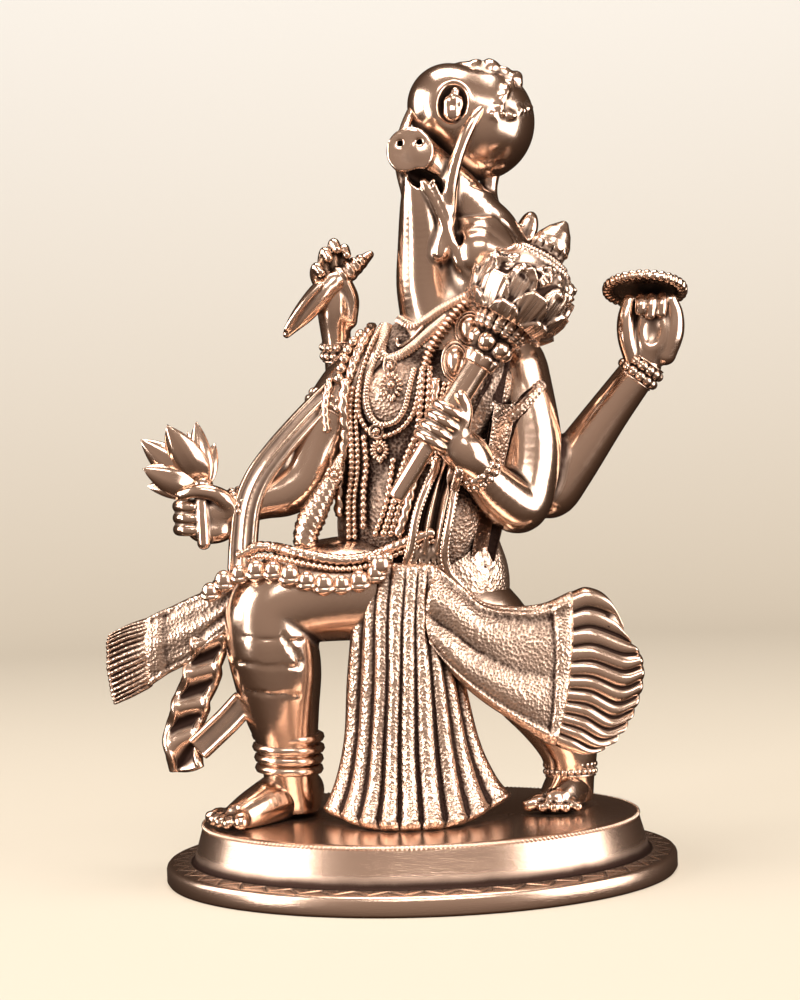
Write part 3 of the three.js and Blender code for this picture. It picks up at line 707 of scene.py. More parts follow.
def floor():
    """A pale round sweep: level under the statue, and rising all round it. Its paper emits painted light, dim at the
    floor and brighter up the backdrop.
    """
    level, rise, top = 1.1, 0.7, 3.0
    profile = [(0.001, 0.0), (0.4, 0.0), (level, 0.0)]
    profile += [(level + rise * math.sin(a), rise - rise * math.cos(a)) for a in np.linspace(0.1, math.pi / 2, 16)]
    profile += [(level + rise, top)]
    around = 96
    turn = np.linspace(0, 2 * math.pi, around, endpoint=False)
    points = [(r * math.cos(t), r * math.sin(t), z) for r, z in profile for t in turn]
    mesh = bpy.data.meshes.new("floor")
    mesh.from_pydata(points, [], grid_faces(len(profile), around, True)[:, ::-1].tolist())
    mesh.polygons.foreach_set("use_smooth", [True] * len(mesh.polygons))
    item = bpy.data.objects.new("floor", mesh)
    item.visible_glossy = False
    item.visible_diffuse = False
    item.visible_shadow = False
    bpy.context.scene.collection.objects.link(item)
    paper = bpy.data.materials.new("paper")
    paper.use_nodes = True
    tree = paper.node_tree
    bsdf = tree.nodes["Principled BSDF"]
    bsdf.inputs["Base Color"].default_value = (0.36, 0.33, 0.28, 1)
    bsdf.inputs["Roughness"].default_value = 0.95
    bsdf.inputs["Specular IOR Level"].default_value = 0.0
    # The paper emits painted light, dim at the floor and brighter higher up, which stands in for the lamps lighting the
    # sweep.
    bsdf.inputs["Emission Strength"].default_value = 1.0
    split = tree.nodes.new("ShaderNodeSeparateXYZ")
    tree.links.new(tree.nodes.new("ShaderNodeTexCoord").outputs["Object"], split.inputs[0])
    painted_backdrop_light = link_ramp(tree, split.outputs["Z"], [(0.0, (0.40, 0.34, 0.26)), (0.9, (0.70, 0.68, 0.64))])
    tree.links.new(painted_backdrop_light, bsdf.inputs["Emission Color"])
    mesh.materials.append(paper)


studio()


# The body and its arms

NECK = [[19, 5, 200, 24, 16], [28, 4, 221, 20, 16.5], [33, 5, 237, 17.6, 15.5], [31, 3, 250, 13.5, 12],
        [25, -1, 258, 9.5, 9]]
TORSO = [[5, 3, 92, 27, 16], [6, 3, 112, 30.5, 19], [1, 2, 131, 29.5, 18], [2, 1, 150, 29, 18],
         [5, 2, 170, 32, 19.5], [13, 4, 188, 36, 20], [18, 5, 202, 30, 17], [19.5, 5, 213, 21, 14]]
ARMS = {
    "conch": [[-10, 10, 195, 12], [-20, 20, 181, 10.5], [-23, 27, 172, 8.6], [-25, 22, 184, 6.8], [-26.2, 13, 204, 5.6]],
    "lotus": [[-12, 5, 195, 14], [-24, 2, 183, 12.5], [-34, 0, 168, 11.2], [-40, -2, 154, 10.6], [-47, -4, 148, 9.4],
              [-56, -5.6, 145.4, 7.8], [-66, -7, 142.4, 6.6]],
    "discus": [[38, 9, 194, 16], [46, 12, 170, 13.4], [51, 12, 152, 11.6], [55, 11.6, 145, 11], [63, 10.3, 154, 10.2],
               [78, 7.4, 174, 8.4], [92, 4, 192, 7.2]],
    "mace": [[41, 4, 190, 14], [46, -1, 166, 13], [44.5, -6, 148, 11.6], [41, -10, 140, 11], [34, -17, 144, 9.6],
             [25, -26, 153.6, 7.2]],
}


def torso():
    block = Block((-42, -32, 88), (62, 36, 218), 1.2)
    block.add(tower(TORSO), 2)
    block.add(ball((30, 8, 200), (15, 13, 12)), 8)
    block.add(ball((-6, 8, 197), (15, 13, 12)), 8)
    block.add(ball((-2, -13, 182), (15, 7, 12)), 6)
    block.add(ball((24, -12, 184), (15, 7, 12)), 6)
    block.add(ball((6, -13, 138), (20, 9, 18)), 8)
    return block


def arms():
    block = Block((-80, -42, 128), (106, 40, 214), 1.0)
    for stations in ARMS.values():
        chain(block, stations, blend=5)
    return block


def head():
    block = Block((-12, -32, 196), (62, 34, 304), 0.72)
    block.add(tower(NECK), 0)
    chain(block, [[14, 2, 204, 15], [12, 1, 213, 13.4], [8.8, -2, 226, 11.4], [8.2, -6, 240, 9.8], [7.2, -11, 253, 7.6],
                  [6, -14.4, 262, 5]], blend=4)
    chain(block, [[30, 1, 248, 11.4], [21, -5, 260, 9.6], [13, -13, 268, 7.8], [8.4, -18, 271.6, 7.4]], blend=5)
    chain(block, [[29, -8, 236, 11], [38, -6, 232, 10], [45, 0, 228, 9]], blend=8)
    muzzle_disc(block)
    mouth(block)
    ears(block)
    chain(block, [[14.6, -14, 236, 3.4], [17.6, -13.6, 250, 3.3], [19, -17.6, 261, 2.8], [22.6, -20.4, 273, 2.4],
                  [28, -20.6, 284, 2.2], [33, -17, 291, 1.6]], blend=2.2)
    chain(block, [[3.4, -9, 257, 2.4], [0.8, -12, 268, 2.3], [0.6, -13, 276, 2.3], [3.4, -12, 286, 2.0], [8, -10, 296, 1.5]],
          blend=1.5)
    chain(block, [[34, 4, 252, 5], [34.5, 4, 262, 3.4], [35, 4, 270, 4.4]], blend=3)
    whiskers(block)
    return block


def muzzle_disc(block):
    """The flat round end of the snout, straight along its lower edge, with two nostrils."""
    face = Block((-8, -30, 258), (18, -10, 288), block.step)
    face.low = block.low + np.round((face.low - block.low) / block.step) * block.step
    face.add(cone((5.4, -17, 273.4), (4.2, -22.6, 273.0), 8.6, 8.9), 0)
    flat = Block((-8, -30, 258), (18, -10, 288), block.step)
    flat.low, flat.count = face.low, face.count
    flat.values = np.full(flat.count, FAR, np.float32)
    where, (x, y, z) = face.window(face.low, face.low + face.step * (face.count - 1))
    lean = (y + 24.4) + 0.12 * (x - 4)
    chin = (265.6 - z) + 0.22 * (x - 4) * 0.4
    face.values = np.maximum(face.values, np.maximum(-lean, chin).astype(np.float32))
    paste(block, face, 1.2)
    for x in (0.4, 7.6):
        block.cut(cone((x, -27, 276.2), (x + 0.2, -21.8, 275.8), 1.25, 1.0), 0.7)


def mouth(block):
    """The open mouth below the snout: a deep notch, a lip on each side and a row of teeth."""
    block.cut(ball((9.6, -19.5, 262.4), (7.4, 6, 3.4), (0, 28, 0)), 1.2)
    groove(block, curve([[13.6, -19, 262.6], [17, -16.6, 252], [20.6, -14.6, 243], [23.6, -13.6, 236]]), 1.5, 1.2)
    lip = curve([[8.8, -19, 262.2], [13.2, -17.4, 254], [17.2, -15.4, 244], [20.6, -14, 235], [22, -13.4, 231]])
    for a, b in zip(lip[:-1], lip[1:]):
        block.add(cone(a, b, 1.5, 1.5), 1.6)
    for spot in even(curve([[12.4, -20.2, 262], [15.6, -18, 254], [18.6, -16, 247]]), 2.1):
        block.add(ball(spot, (0.9, 1.0, 1.1)), 0.6)


def ears(block):
    for centre, turn in (((49, 9, 246.6), (0, 24, 30)), ((20, 13, 247), (0, -18, 0))):
        block.add(ball(centre, (4.4, 3.6, 8.6), turn), 3)
        inner = np.array(centre) + (0.4, -3.4, 0.6)
        block.cut(ball(inner, (2.2, 1.8, 5.6), turn), 1.0)


def whiskers(block):
    """Curved lines cut into the cheek."""
    for shift in (0, 2.4, 4.8):
        line = curve([[33 + shift, -13, 253 - shift], [38 + shift, -12, 249 - shift], [42 + shift, -10, 242 - shift],
                      [44 + shift * 0.6, -9, 236 - shift]], 6)
        path = drape([block], [(p[0], p[2]) for p in line], 0.1)
        groove(block, path, 0.45, 0.3)


def drape(blocks, places, proud=0.0, otherwise=-10.0):
    """Lays a run of X and Z places on the front of some blocks."""
    path = []
    last = otherwise
    for x, z in places:
        found = [y for y in (block.front(x, z) for block in blocks) if y is not None]
        last = min(found) if found else last
        path.append([x, last - proud, z])
    path = np.array(path, float)
    smooth = path[:, 1].copy()
    for _ in range(2):
        smooth[1:-1] = (smooth[:-2] + 2 * smooth[1:-1] + smooth[2:]) / 4
    path[:, 1] = smooth
    return path


# The globe that the tusks carry

GLOBE = (31, 2, 288)
BOSS = (19.6, -8, 293)


def globe():
    block = Block((-2, -30, 258), (58, 30, 316), 0.7)
    block.add(ball(GLOBE, (22, 22, 22)), 0)
    block.add(ball(BOSS, (15.8, 13.4, 15.8)), 4)
    block.cut(ball((20.6, -21.4, 290.4), (5.6, 4.6, 8.6), (0, 14, 0)), 1.4)
    land(block)
    niche_figure(block)
    return block


def land(block):
    """Raised rough land along the top and down the right of the globe, with cracks beside it."""
    middle = np.array(GLOBE, float)
    for path, wide in (([[10, -14, 306], [20, -12, 309], [30, -10, 309.5], [40, -8, 306], [46, -6, 301]], 3.6),
                       ([[44, -12, 301], [42, -16, 296], [39, -18.6, 291], [35.6, -19.6, 286]], 2.0),
                       ([[35.6, -19.6, 286], [42, -17, 286.6], [48, -12, 289], [52, -7, 292]], 1.3),
                       ([[14, 16, 300], [26, 18, 304], [40, 14, 300], [46, 10, 290]], 3.6)):
        for spot in even(curve(path), 1.7):
            away = spot - middle
            spot = middle + away / np.linalg.norm(away) * 21.4 + noise_source.normal(0, 0.55, 3)
            block.add(ball(spot, np.abs(noise_source.normal(wide, 0.5, 3)) * (0.9, 0.5, 0.7) + 0.5,
                           tuple(noise_source.uniform(0, 180, 3))), 1.0)


def niche_figure(block):
    """The small rough figure that sits in the globe's oval niche."""
    for centre, radii in (((20.4, -20.2, 287.6), (3.4, 2.2, 3.6)), ((21, -20.4, 292), (2.6, 2.2, 2.8)),
                          ((21.8, -20.6, 295.2), (1.6, 1.5, 1.6)), ((18.4, -20.4, 290.6), (1.1, 1.2, 2.8)),
                          ((23.6, -20.4, 290.8), (1.1, 1.2, 2.6))):
        block.add(ball(centre, radii), 0.8)


torso_block = torso()
arms_block = arms()
head_block = head()
globe_block = globe()
piece("torso", torso_block, ground_brass)
piece("arms", arms_block, smooth_brass)
piece("head", head_block, smooth_brass)
piece("globe", globe_block, smooth_brass)


# The legs and feet

def legs():
    block = Block((-80, -38, 24), (78, 34, 134), 1.1)
    chain(block, [[-4, 3, 110, 21], [-28, -4, 110, 20], [-44, -9, 108, 18.4], [-54, -12, 103, 16.6], [-54.4, -11, 92, 17.4],
                  [-53, -8, 80, 17], [-52, -5, 66, 14.6], [-50.4, -2.4, 54, 12], [-49.8, 0, 42, 10.6],
                  [-48.6, 4, 29, 10.6]], blend=4)
    chain(block, [[10, 5, 108, 19], [26, 4, 92, 19], [41, 4, 73, 16], [52, 4, 58, 13.4], [58, 5, 46, 11.4],
                  [58.8, 6, 36, 9.6], [59, 8, 28, 9]], blend=4)
    for z, left, right in ((94.4, -66, -42), (84.6, -66.4, -43), (73.6, -65, -43.6)):
        line = drape([block], [(x, z - 0.1 * (x - left)) for x in np.linspace(left, right, 16)], 0.05)
        groove(block, line, 0.55, 0.4)
    line = drape([block], [(-48.8, 94.6), (-46.6, 91), (-44.4, 87.4), (-43, 84)], 0.05)
    groove(block, line, 0.9, 0.8)
    return block


FEET = {
    "right": {"sole": [[-46, 16, 30, 8.4], [-50, 8, 31.5, 10], [-56, -2, 29.6, 9.4], [-63, -11, 27.4, 8], [-68, -17, 25.8, 6.4]],
              "toes": [[-79, -12.6, 25.8, 3.1, 9], [-77.6, -18, 25.6, 2.7, 8], [-75, -22.4, 25.4, 2.5, 7.6],
                       [-71.8, -25.8, 25.3, 2.4, 7], [-66.6, -28, 26, 3.3, 8]]},
    "left": {"sole": [[60, 16, 29.6, 7.4], [58.6, 8, 30.6, 8.8], [55.4, 0, 28.4, 8.4], [52.4, -6, 26.4, 7]],
             "toes": [[41.4, -8.6, 25.6, 3.3, 8], [46.2, -11.4, 25.2, 2.6, 7], [50.6, -12.8, 25.1, 2.5, 7],
                      [54.8, -13, 25.0, 2.4, 6.6], [59.6, -12, 25.0, 2.3, 6]]},
}


def foot(side):
    stations = FEET[side]["sole"]
    toes = FEET[side]["toes"]
    points = np.array([s[:3] for s in stations] + [t[:3] for t in toes])
    block = Block(points.min(0) - 16, points.max(0) + 18, 0.7)
    block.low[2] = GROUND - 3
    chain(block, stations, blend=3)
    instep = np.array(stations[-1][:3])
    for x, y, z, radius, length in toes:
        tip = np.array((x, y, z), float)
        back = instep + (tip - instep) * (1 - length / max(np.linalg.norm(tip - instep), 1e-6))
        chain(block, [[*back, radius * 0.95], [*(back * 0.4 + tip * 0.6 + (0, 0, 0.5)), radius], [*tip, radius * 0.86]],
              blend=1.0, steps=3)
        way = (tip - back) / np.linalg.norm(tip - back)
        block.cut(ball(tip + way * radius * 0.3 + (0, 0, radius * 0.95), (radius * 0.6, radius * 0.6, radius * 0.34)), 0.3)
    where, (x, y, z) = block.window(block.low, block.low + block.step * (block.count - 1))
    block.values = np.maximum(block.values, (GROUND - z) * np.ones_like(block.values))
    return block


leg_block = legs()
piece("legs", leg_block, smooth_brass)
for side in FEET:
    piece("foot_" + side, foot(side), smooth_brass)


# The four hands

def curl(centre, side, front, reach, start, end, radius, count=7):
    """Rows of a finger that bends round a rod, from one angle to another."""
    turns = np.radians(np.linspace(start, end, count))
    return [[*(centre + reach * (math.cos(t) * side + math.sin(t) * front)), radius * (1 - 0.16 * k / (count - 1))]
            for k, t in enumerate(turns)]


MACE_FOOT = np.array((-5.7, -33.0, 143.6))
MACE_TIP = np.array((58.9, -31.0, 241.0))


def mace_hand():
    block = Block((-4, -48, 142), (40, -8, 192), 0.6)
    axis, front, side = frame_of(MACE_TIP - MACE_FOOT)
    grip = MACE_FOOT + axis * 30.4
    chain(block, [[27, -24, 151.4, 7], [24.4, -27.4, 155.4, 7.6], [21, -29.6, 159.6, 8.2], [17.6, -30.4, 163.6, 7.2]], blend=2)
    for k, lift in enumerate((7.4, 2.9, -1.5, -5.6)):
        centre = grip + axis * lift
        chain(block, curl(centre, -side, front, 5.7, -30, 190, 2.5 - 0.08 * k), blend=0.7)
    chain(block, [[*(grip - axis * 3 - side * 7 + front * 1), 3.2], [*(grip + axis * 5 - side * 6.6 + front * 1.5), 3.4],
                  [*(grip + axis * 11 - side * 4.4 + front * 2.6), 2.9], [*(grip + axis * 14 - side * 0.6 + front * 4.2), 2.4]],
          blend=1.4)
    return block


def lotus_hand():
    block = Block((-94, -24, 124), (-58, 8, 160), 0.6)
    chain(block, [[-64, -7, 142.8, 6.6], [-70, -7.4, 141.8, 7.4], [-76, -7, 140.6, 8.2], [-79.6, -6.6, 139, 7.2]], blend=2)
    block.add(ball((-76, -9, 133.4), (8.6, 6.4, 4.6)), 3)
    for z in (143.6, 139.2, 134.8):
        chain(block, [[-80, -1.6, z, 2.6], [-86, -4, z, 2.6], [-88.2, -9, z, 2.5], [-86, -13.6, z - 0.2, 2.4],
                      [-82.4, -14.6, z - 0.5, 2.2]], blend=0.7)
    chain(block, [[-68, -11, 141.4, 3.6], [-70.4, -14, 145.6, 3.5], [-75, -16, 148.4, 3.0], [-81, -16, 149, 2.6],
                  [-86, -14.6, 148, 2.3]], blend=1.0)
    chain(block, [[-78.4, -14.4, 129.4, 2.6], [-78.6, -14.6, 138, 2.5], [-79, -13, 150, 2.6]], blend=0.6)
    return block


def discus_hand():
    block = Block((80, -12, 190), (110, 16, 226), 0.6)
    chain(block, [[91.6, 4.4, 190, 6.2], [93.6, 3.4, 197, 7.2], [95.6, 2.6, 204, 8.4], [96, 3, 211, 8]], blend=2)
    chain(block, [[87.6, 0.6, 195, 3.4], [85.4, -1.4, 203, 3.5], [85.2, -2, 210, 3.2], [87.2, -1, 217, 2.7]], blend=1.2)
    chain(block, [[100.4, 0.6, 196, 4.2], [103.4, -1, 204, 4.2], [104, -1.4, 211, 3.6], [102.6, -2, 216.6, 2.8]], blend=1.6)
    block.cut(ball((94.6, -6.6, 205), (4.4, 3.6, 6.8), (0, 6, 0)), 1.6)
    for x, low, radius in ((90.6, 212.4, 2.1), (94.4, 210.8, 2.3), (98.6, 211.4, 2.3)):
        chain(block, [[x + 0.6, 2, 217.6, radius], [x + 0.4, -4, 217.4, radius], [x, -6, 214.6, radius],
                      [x - 0.4, -5.8, low, radius * 0.9]], blend=0.6)
    return block


def conch_hand():
    block = Block((-50, -8, 200), (-6, 22, 248), 0.6)
    chain(block, [[-26.4, 12, 202, 5.4], [-27, 10.4, 211, 6], [-27, 8.6, 219, 6.8], [-27, 8, 226, 6.4]], blend=2)
    chain(block, [[-21.6, 9, 214, 3.4], [-20.4, 7, 222, 3.2], [-22.4, 4, 228.4, 2.8]], blend=1.5)
    for stations in ([[-31.4, 7, 226, 2.5], [-33.6, 3.6, 231, 2.4], [-33.2, 0.6, 234, 2.1], [-31.6, -0.4, 232, 1.9]],
                     [[-28.6, 7.6, 228, 2.5], [-30.6, 5, 235, 2.4], [-29.8, 2, 240, 2.2], [-28.4, 0.8, 237.6, 1.9]],
                     [[-25.6, 8, 228, 2.5], [-26.8, 6, 237, 2.4], [-26.4, 3.4, 243.4, 2.2], [-25, 1.6, 241, 1.9]],
                     [[-22.8, 8.6, 227, 2.4], [-22.8, 7, 236, 2.3], [-22.4, 5, 241.6, 2.0], [-21.4, 3.4, 239, 1.8]]):
        chain(block, stations, blend=0.7)
    return block


def conch():
    """The shell: a long lip at the lower left and a coiled spire at the right."""
    block = Block((-54, -14, 200), (-4, 20, 252), 0.6)
    chain(block, [[-45.6, 1, 208.6, 1.5], [-43, 1, 212, 2.8], [-38.4, 1.4, 217, 4.2], [-32.4, 2.2, 223.6, 4.8],
                  [-27, 4, 228.6, 4.6]], blend=1)
    chain(block, [[-27, 4, 228.6, 4.4], [-21.6, 5.6, 232, 3.8], [-16.6, 6.8, 236, 2.8], [-12.4, 7.8, 239.4, 1.6]], blend=1)
    lip = curve([[-45.4, -1.4, 210.6], [-41, -3, 216.4], [-36, -3.6, 222.4], [-31.6, -3.2, 227]])
    for a, b in zip(lip[:-1], lip[1:]):
        block.add(cone(a, b, 1.1, 1.1), 0.8)
    groove(block, lip + (1.9, -0.6, -1.4), 1.0, 0.8)
    spire = np.array((-27, 4, 228.6)), np.array((-12.4, 7.8, 239.4))
    way = (spire[1] - spire[0]) / np.linalg.norm(spire[1] - spire[0])
    for along, radius in ((4.2, 4.2), (8, 3.6), (11.4, 2.9), (14.2, 2.2)):
        block.add(hoop(spire[0] + way * along, way, radius, 0.8), 0.5)
    return block


# What the other hands hold

def blade(shell, base, tip, width, belly, thickness, front=(0, -1, 0), rows=18, columns=11, keel=0.5):
    """A pointed petal from base to tip, bulging towards the front."""
    base, tip = np.array(base, float), np.array(tip, float)
    way = tip - base
    long = np.linalg.norm(way)
    way /= long
    out = np.array(front, float)
    out = out - way * (out @ way)
    out /= np.linalg.norm(out)
    side = np.cross(way, out)
    t = np.linspace(0, 1, rows)
    s = np.linspace(-1, 1, columns)
    half = width * 0.5 * (np.sin(np.pi * np.clip(t, 0, 1) ** 0.8) ** 0.72 + 0.16 * (1 - t))
    half = np.maximum(half, 0.25)
    grid = (base + way * (t * long)[:, None, None] + side * (half[:, None] * s[None])[..., None]
            + out * (belly * np.sin(np.pi * t)[:, None] * (1 - s[None] ** 2)
                     + belly * 0.5 * (t ** 2)[:, None])[..., None])
    return cloth(shell, grid, thickness, lambda u, v, grid: -keel * np.exp(-((v - 0.5) * 12) ** 2) * np.sin(np.pi * u), front)


LOTUS_BASE = (-78.8, -11, 150.6)
PETALS = [((-100.6, -15, 169), 12.5, 3.2), ((-100, -17, 158), 12, 3.4), ((-90, -18.5, 174.2), 13, 3.6),
          ((-99.6, -8, 151.4), 9, 2.2), ((-80.6, -5, 175.2), 9, 2.4), ((-74, -5, 166.8), 7, 1.8),
          ((-92, 0, 168), 12, -2.6), ((-97, 0, 160), 11, -2.6), ((-85, 1, 172), 10, -2.4)]


def lotus():
    shell = Shell()
    for tip, width, belly in PETALS:
        start = np.array(LOTUS_BASE) + (0, 1.4 if belly < 0 else 0, 0)
        blade(shell, start, tip, width, abs(belly), 1.5, front=(0, 1, 0) if belly < 0 else (-0.25, -1, 0.2))
    bead(shell, LOTUS_BASE, (4.4, 4.2, 4.6), fine=True)
    return shell


DISCUS = (93.6, 2.4, 221.4)
DISCUS_AXIS = (0.09, 0.27, 0.96)
DISCUS_RADIUS = 16.3
DISCUS_TEETH = 32


def disc():
    """The discus: a flat plate with a toothed rim and a knob in the middle of its top."""
    edge = DISCUS_RADIUS
    profile = [(-0.6, 0.02), (-0.6, edge - 4), (-1.6, edge - 3), (-1.7, edge - 0.6), (-1.0, edge), (1.0, edge),
               (1.7, edge - 0.6), (1.6, edge - 3), (0.8, edge - 4), (0.8, 6.4), (1.6, 5.6), (2.2, 3.4),
               (4.6, 1.8), (5.0, 0.02)]

    def relief(along, radius, turns):
        return np.clip(radius - edge + 4, 0, 1) * 0.9 * (wave(turns, DISCUS_TEETH, 0.6) - 0.8)

    return turned(Shell(), DISCUS, DISCUS_AXIS, profile, 0.8, 160, relief)


MACE_BALL = 89.0
MACE_RADIUS = 17.6
MACE_LOBES = 6
MACE_TEETH = 15
MACE_PETALS = 7


def mace():
    """The plain shaft, thicker above the fist."""
    profile = [(0, 0.02), (0, 2.6), (0.8, 3.2), (30, 3.4), (37, 4.7), (39, 4.9), (59, 4.9), (59.4, 0.02)]
    return turned(Shell(), MACE_FOOT, MACE_TIP - MACE_FOOT, profile, 0.7, 64)


def mace_head():
    """Two lobed collars and a toothed one, the ball in its petals, and the pointed finial."""
    profile = [(57, 0.02), (57, 5.4), (57.6, 6.2), (61.2, 6.6), (62.2, 5.6), (63, 6.0), (64.4, 7.8), (66.4, 8.6),
               (68.4, 8.0), (69.4, 6.6), (70.2, 7.4), (71.0, 9.6), (73.6, 10.6), (76.2, 10.4), (77.0, 9.6)]
    profile += [(MACE_BALL + MACE_RADIUS * math.sin(t), MACE_RADIUS * math.cos(t))
                for t in np.radians(np.arange(-46, 66, 3))]
    profile += [(106.2, 6.8), (107.6, 6.8), (108.6, 7.4), (111.6, 6.8), (115.6, 4.6), (119.6, 1.2), (120, 0.02)]
    return turned(Shell(), MACE_FOOT, MACE_TIP - MACE_FOOT, profile, 0.55, 220, mace_relief)


def mace_relief(along, radius, turns):
    """The height of the carving over the mace's head."""
    cup = (along < 62.2) * 0.9 * (wave(turns, 8, 0.8) - 0.5) * np.clip((along - 57.6) / 3, 0, 1)
    lobes = np.clip(1 - ((along - 66.2) / 3.8) ** 2, 0, 1) ** 0.5 * 3.4 * (wave(turns + 0.3, MACE_LOBES, 0.7) - 0.75)
    teeth = ((along > 70) & (along < 77)) * (1.3 * (wave(turns, MACE_TEETH, 0.4) - 0.8)
                                             - mark(0.5, along - 72.4, 0.5))
    facets = ((along > 106) & (along < 109.4)) * 0.7 * (wave(turns, 11, 0.6) - 0.7)
    on_ball = (along > 77.2) & (along < 105.6)
    return cup + lobes + teeth + facets + on_ball * ball_relief(np.degrees(np.arctan2(along - MACE_BALL, radius)), turns)


def ball_relief(height, turns):
    """Petals up to the ball's middle, rough ornament above them and two roped bands near its top."""
    relief = np.full(height.shape, -0.5)
    for first, tip, offset, swell in ((-60, 22, 0.5, 1.2), (-60, 2, 0.0, 2.1), (-64, -22, 0.5, 2.9)):
        step = 2 * math.pi / MACE_PETALS
        gap = (((turns + 0.35) / step + offset) % 1 - 0.5) * 2
        share = np.clip((height - first) / (tip - first), 0, 1)
        half = 1.12 * np.sqrt(np.clip(1 - share ** 2.6, 0, 1))
        inside = np.clip((half - np.abs(gap)) * 9, 0, 1) * np.clip((tip - height) / 3, 0, 1)
        petal = swell * (0.55 + 0.45 * np.sqrt(np.clip(1 - (gap / 1.12) ** 2, 0, 1))) + 0.9 * share ** 3
        petal += 0.16 * np.cos(gap * 22) - mark(0.5, gap, 0.05)
        relief = np.where(inside > 0.02, np.maximum(relief, petal * inside), relief)
    rough = 0.0
    for lift, place, size, tall in MACE_SCROLLS:
        gap = np.hypot((height - lift) * 0.31, (((turns - place + math.pi) % (2 * math.pi)) - math.pi) * 15)
        rough = rough + mark(tall, gap - size, 0.7) + mark(tall * 0.7, gap, size * 0.4)
    relief += rough * np.clip((height - 2) / 8, 0, 1) * (height < 44)
    for middle in (47.5, 57.5):
        relief += mark(1.5, height - middle, 3.4) * (0.72 + 0.28 * np.cos(turns * 44 + height * 0.6))
    return relief


MACE_SCROLLS = [(random.uniform(8, 40), random.uniform(0, 2 * math.pi), random.uniform(0.8, 1.9),
                 random.uniform(0.5, 1.1)) for _ in range(64)]

piece("mace_hand", mace_hand(), smooth_brass)
piece("lotus_hand", lotus_hand(), smooth_brass)
piece("discus_hand", discus_hand(), smooth_brass)
piece("conch_hand", conch_hand(), smooth_brass)
piece("conch", conch(), smooth_brass)
piece("lotus", lotus(), smooth_brass)
piece("discus", disc(), smooth_brass)
piece("mace", mace(), smooth_brass)
piece("mace_head", mace_head(), ornament_brass)


# The front of what is already there, which the jewellery lies on

class Front:
    """For each place on a grid of X and Z, the Y of the surface that faces the viewer."""
    STEP = 1.0
    LOW = (-130, 0)
    SIZE = (260, 330)

    def __init__(self, *items):
        self.depth = np.full(self.SIZE, np.inf)
        for item in items:
            points = np.zeros(len(item.data.vertices) * 3, np.float32)
            item.data.vertices.foreach_get("co", points)
            points = points.reshape(-1, 3) / MM
            i = np.clip(((points[:, 0] - self.LOW[0]) / self.STEP).astype(int), 0, self.SIZE[0] - 1)
            k = np.clip(((points[:, 2] - self.LOW[1]) / self.STEP).astype(int), 0, self.SIZE[1] - 1)
            np.minimum.at(self.depth, (i, k), points[:, 1])

    def at(self, x, z):
        i = int((x - self.LOW[0]) / self.STEP)
        k = int((z - self.LOW[1]) / self.STEP)
        return self.depth[i - 1:i + 2, k - 1:k + 2].min()

    def lay(self, places, spacing=1.0, proud=0.0, rounds=3):
        """A smooth path on the surface through a few X and Z places."""
        flat = even(np.insert(curve(places, 10), 1, 0, axis=1), spacing)
        depth = np.array([self.at(x, z) for x, _, z in flat])
        good = np.isfinite(depth)
        depth = np.interp(np.arange(len(depth)), np.nonzero(good)[0], depth[good])
        for _ in range(rounds):
            depth[1:-1] = (depth[:-2] + 2 * depth[1:-1] + depth[2:]) / 4
        flat[:, 1] = depth - proud
        return flat


def ribs(shell, path, half, thick, spacing, tall=None):
    """Short ribs side by side across a path, like the rungs of a ladder."""
    spots = even(path, spacing)
    ways = np.gradient(spots, axis=0)
    for spot, way in zip(spots, ways):
        side = np.cross(way, (0, 1, 0))
        bead(shell, spot, (thick, tall or thick, half), side)
    return shell


def rope(shell, path, radius, pitch=None, around=10, strands=2, depth=0.24):
    """A twisted rope along a path."""
    path = even(path, 0.8)
    length = 0.8 * len(path)
    return tube(shell, path, radius, around, length / (pitch or radius * 5), strands, depth)


def ring_places(centre, axis, radius, count, start=0.0, wide=1.0):
    """Places at equal steps round a ring."""
    axis, front, side = frame_of(axis)
    turn = np.linspace(0, 2 * math.pi, count, endpoint=False) + start
    return np.array(centre, float) + radius * (np.cos(turn)[:, None] * side * wide + np.sin(turn)[:, None] * front)


def bracelet(shell, centre, axis, radius, rows=2, size=2.0, wide=1.0):
    """Rows of squared beads set tight round a limb, with a thin wire on each side."""
    half = rows * size
    inner = radius - size
    profile = [(-half - 0.9, inner), (-half - 0.8, radius - 0.4), (-half - 0.2, radius - 0.2), (-half, radius - 0.8)]
    for row in range(rows):
        middle = (2 * row + 1) * size - half
        profile += [(middle + size * 0.96 * math.sin(t), radius - 0.8 + size * 0.95 * math.cos(t))
                    for t in np.radians((-80, -55, -30, 0, 30, 55, 80))]
    profile += [(half, radius - 0.8), (half + 0.2, radius - 0.2), (half + 0.8, radius - 0.4), (half + 0.9, inner)]
    count = int(round(2 * math.pi * radius / (size * 2.1)))

    def relief(along, radii, turns):
        row = np.floor((along + half) / (2 * size))
        beading = wave(turns + row * math.pi / count, count, 0.5) - 0.85
        return (np.abs(along) < half) * size * 0.62 * beading * np.clip((radii - radius + 0.8) / 0.6, 0, 1)

    return turned(shell, centre, axis, profile, 0.5, max(96, 7 * count), relief, wide)


def flower(shell, centre, size, petals=8, front=(0, -1, 0)):
    """A round boss with a ring of small petals."""
    bead(shell, centre, (size * 0.5, size * 0.5, size * 0.42), front, True)
    for spot in ring_places(centre, front if abs(front[1]) < 0.9 else (0.001, -1, 0.001), size * 0.74, petals):
        bead(shell, spot, size * 0.3, front)
    return shell


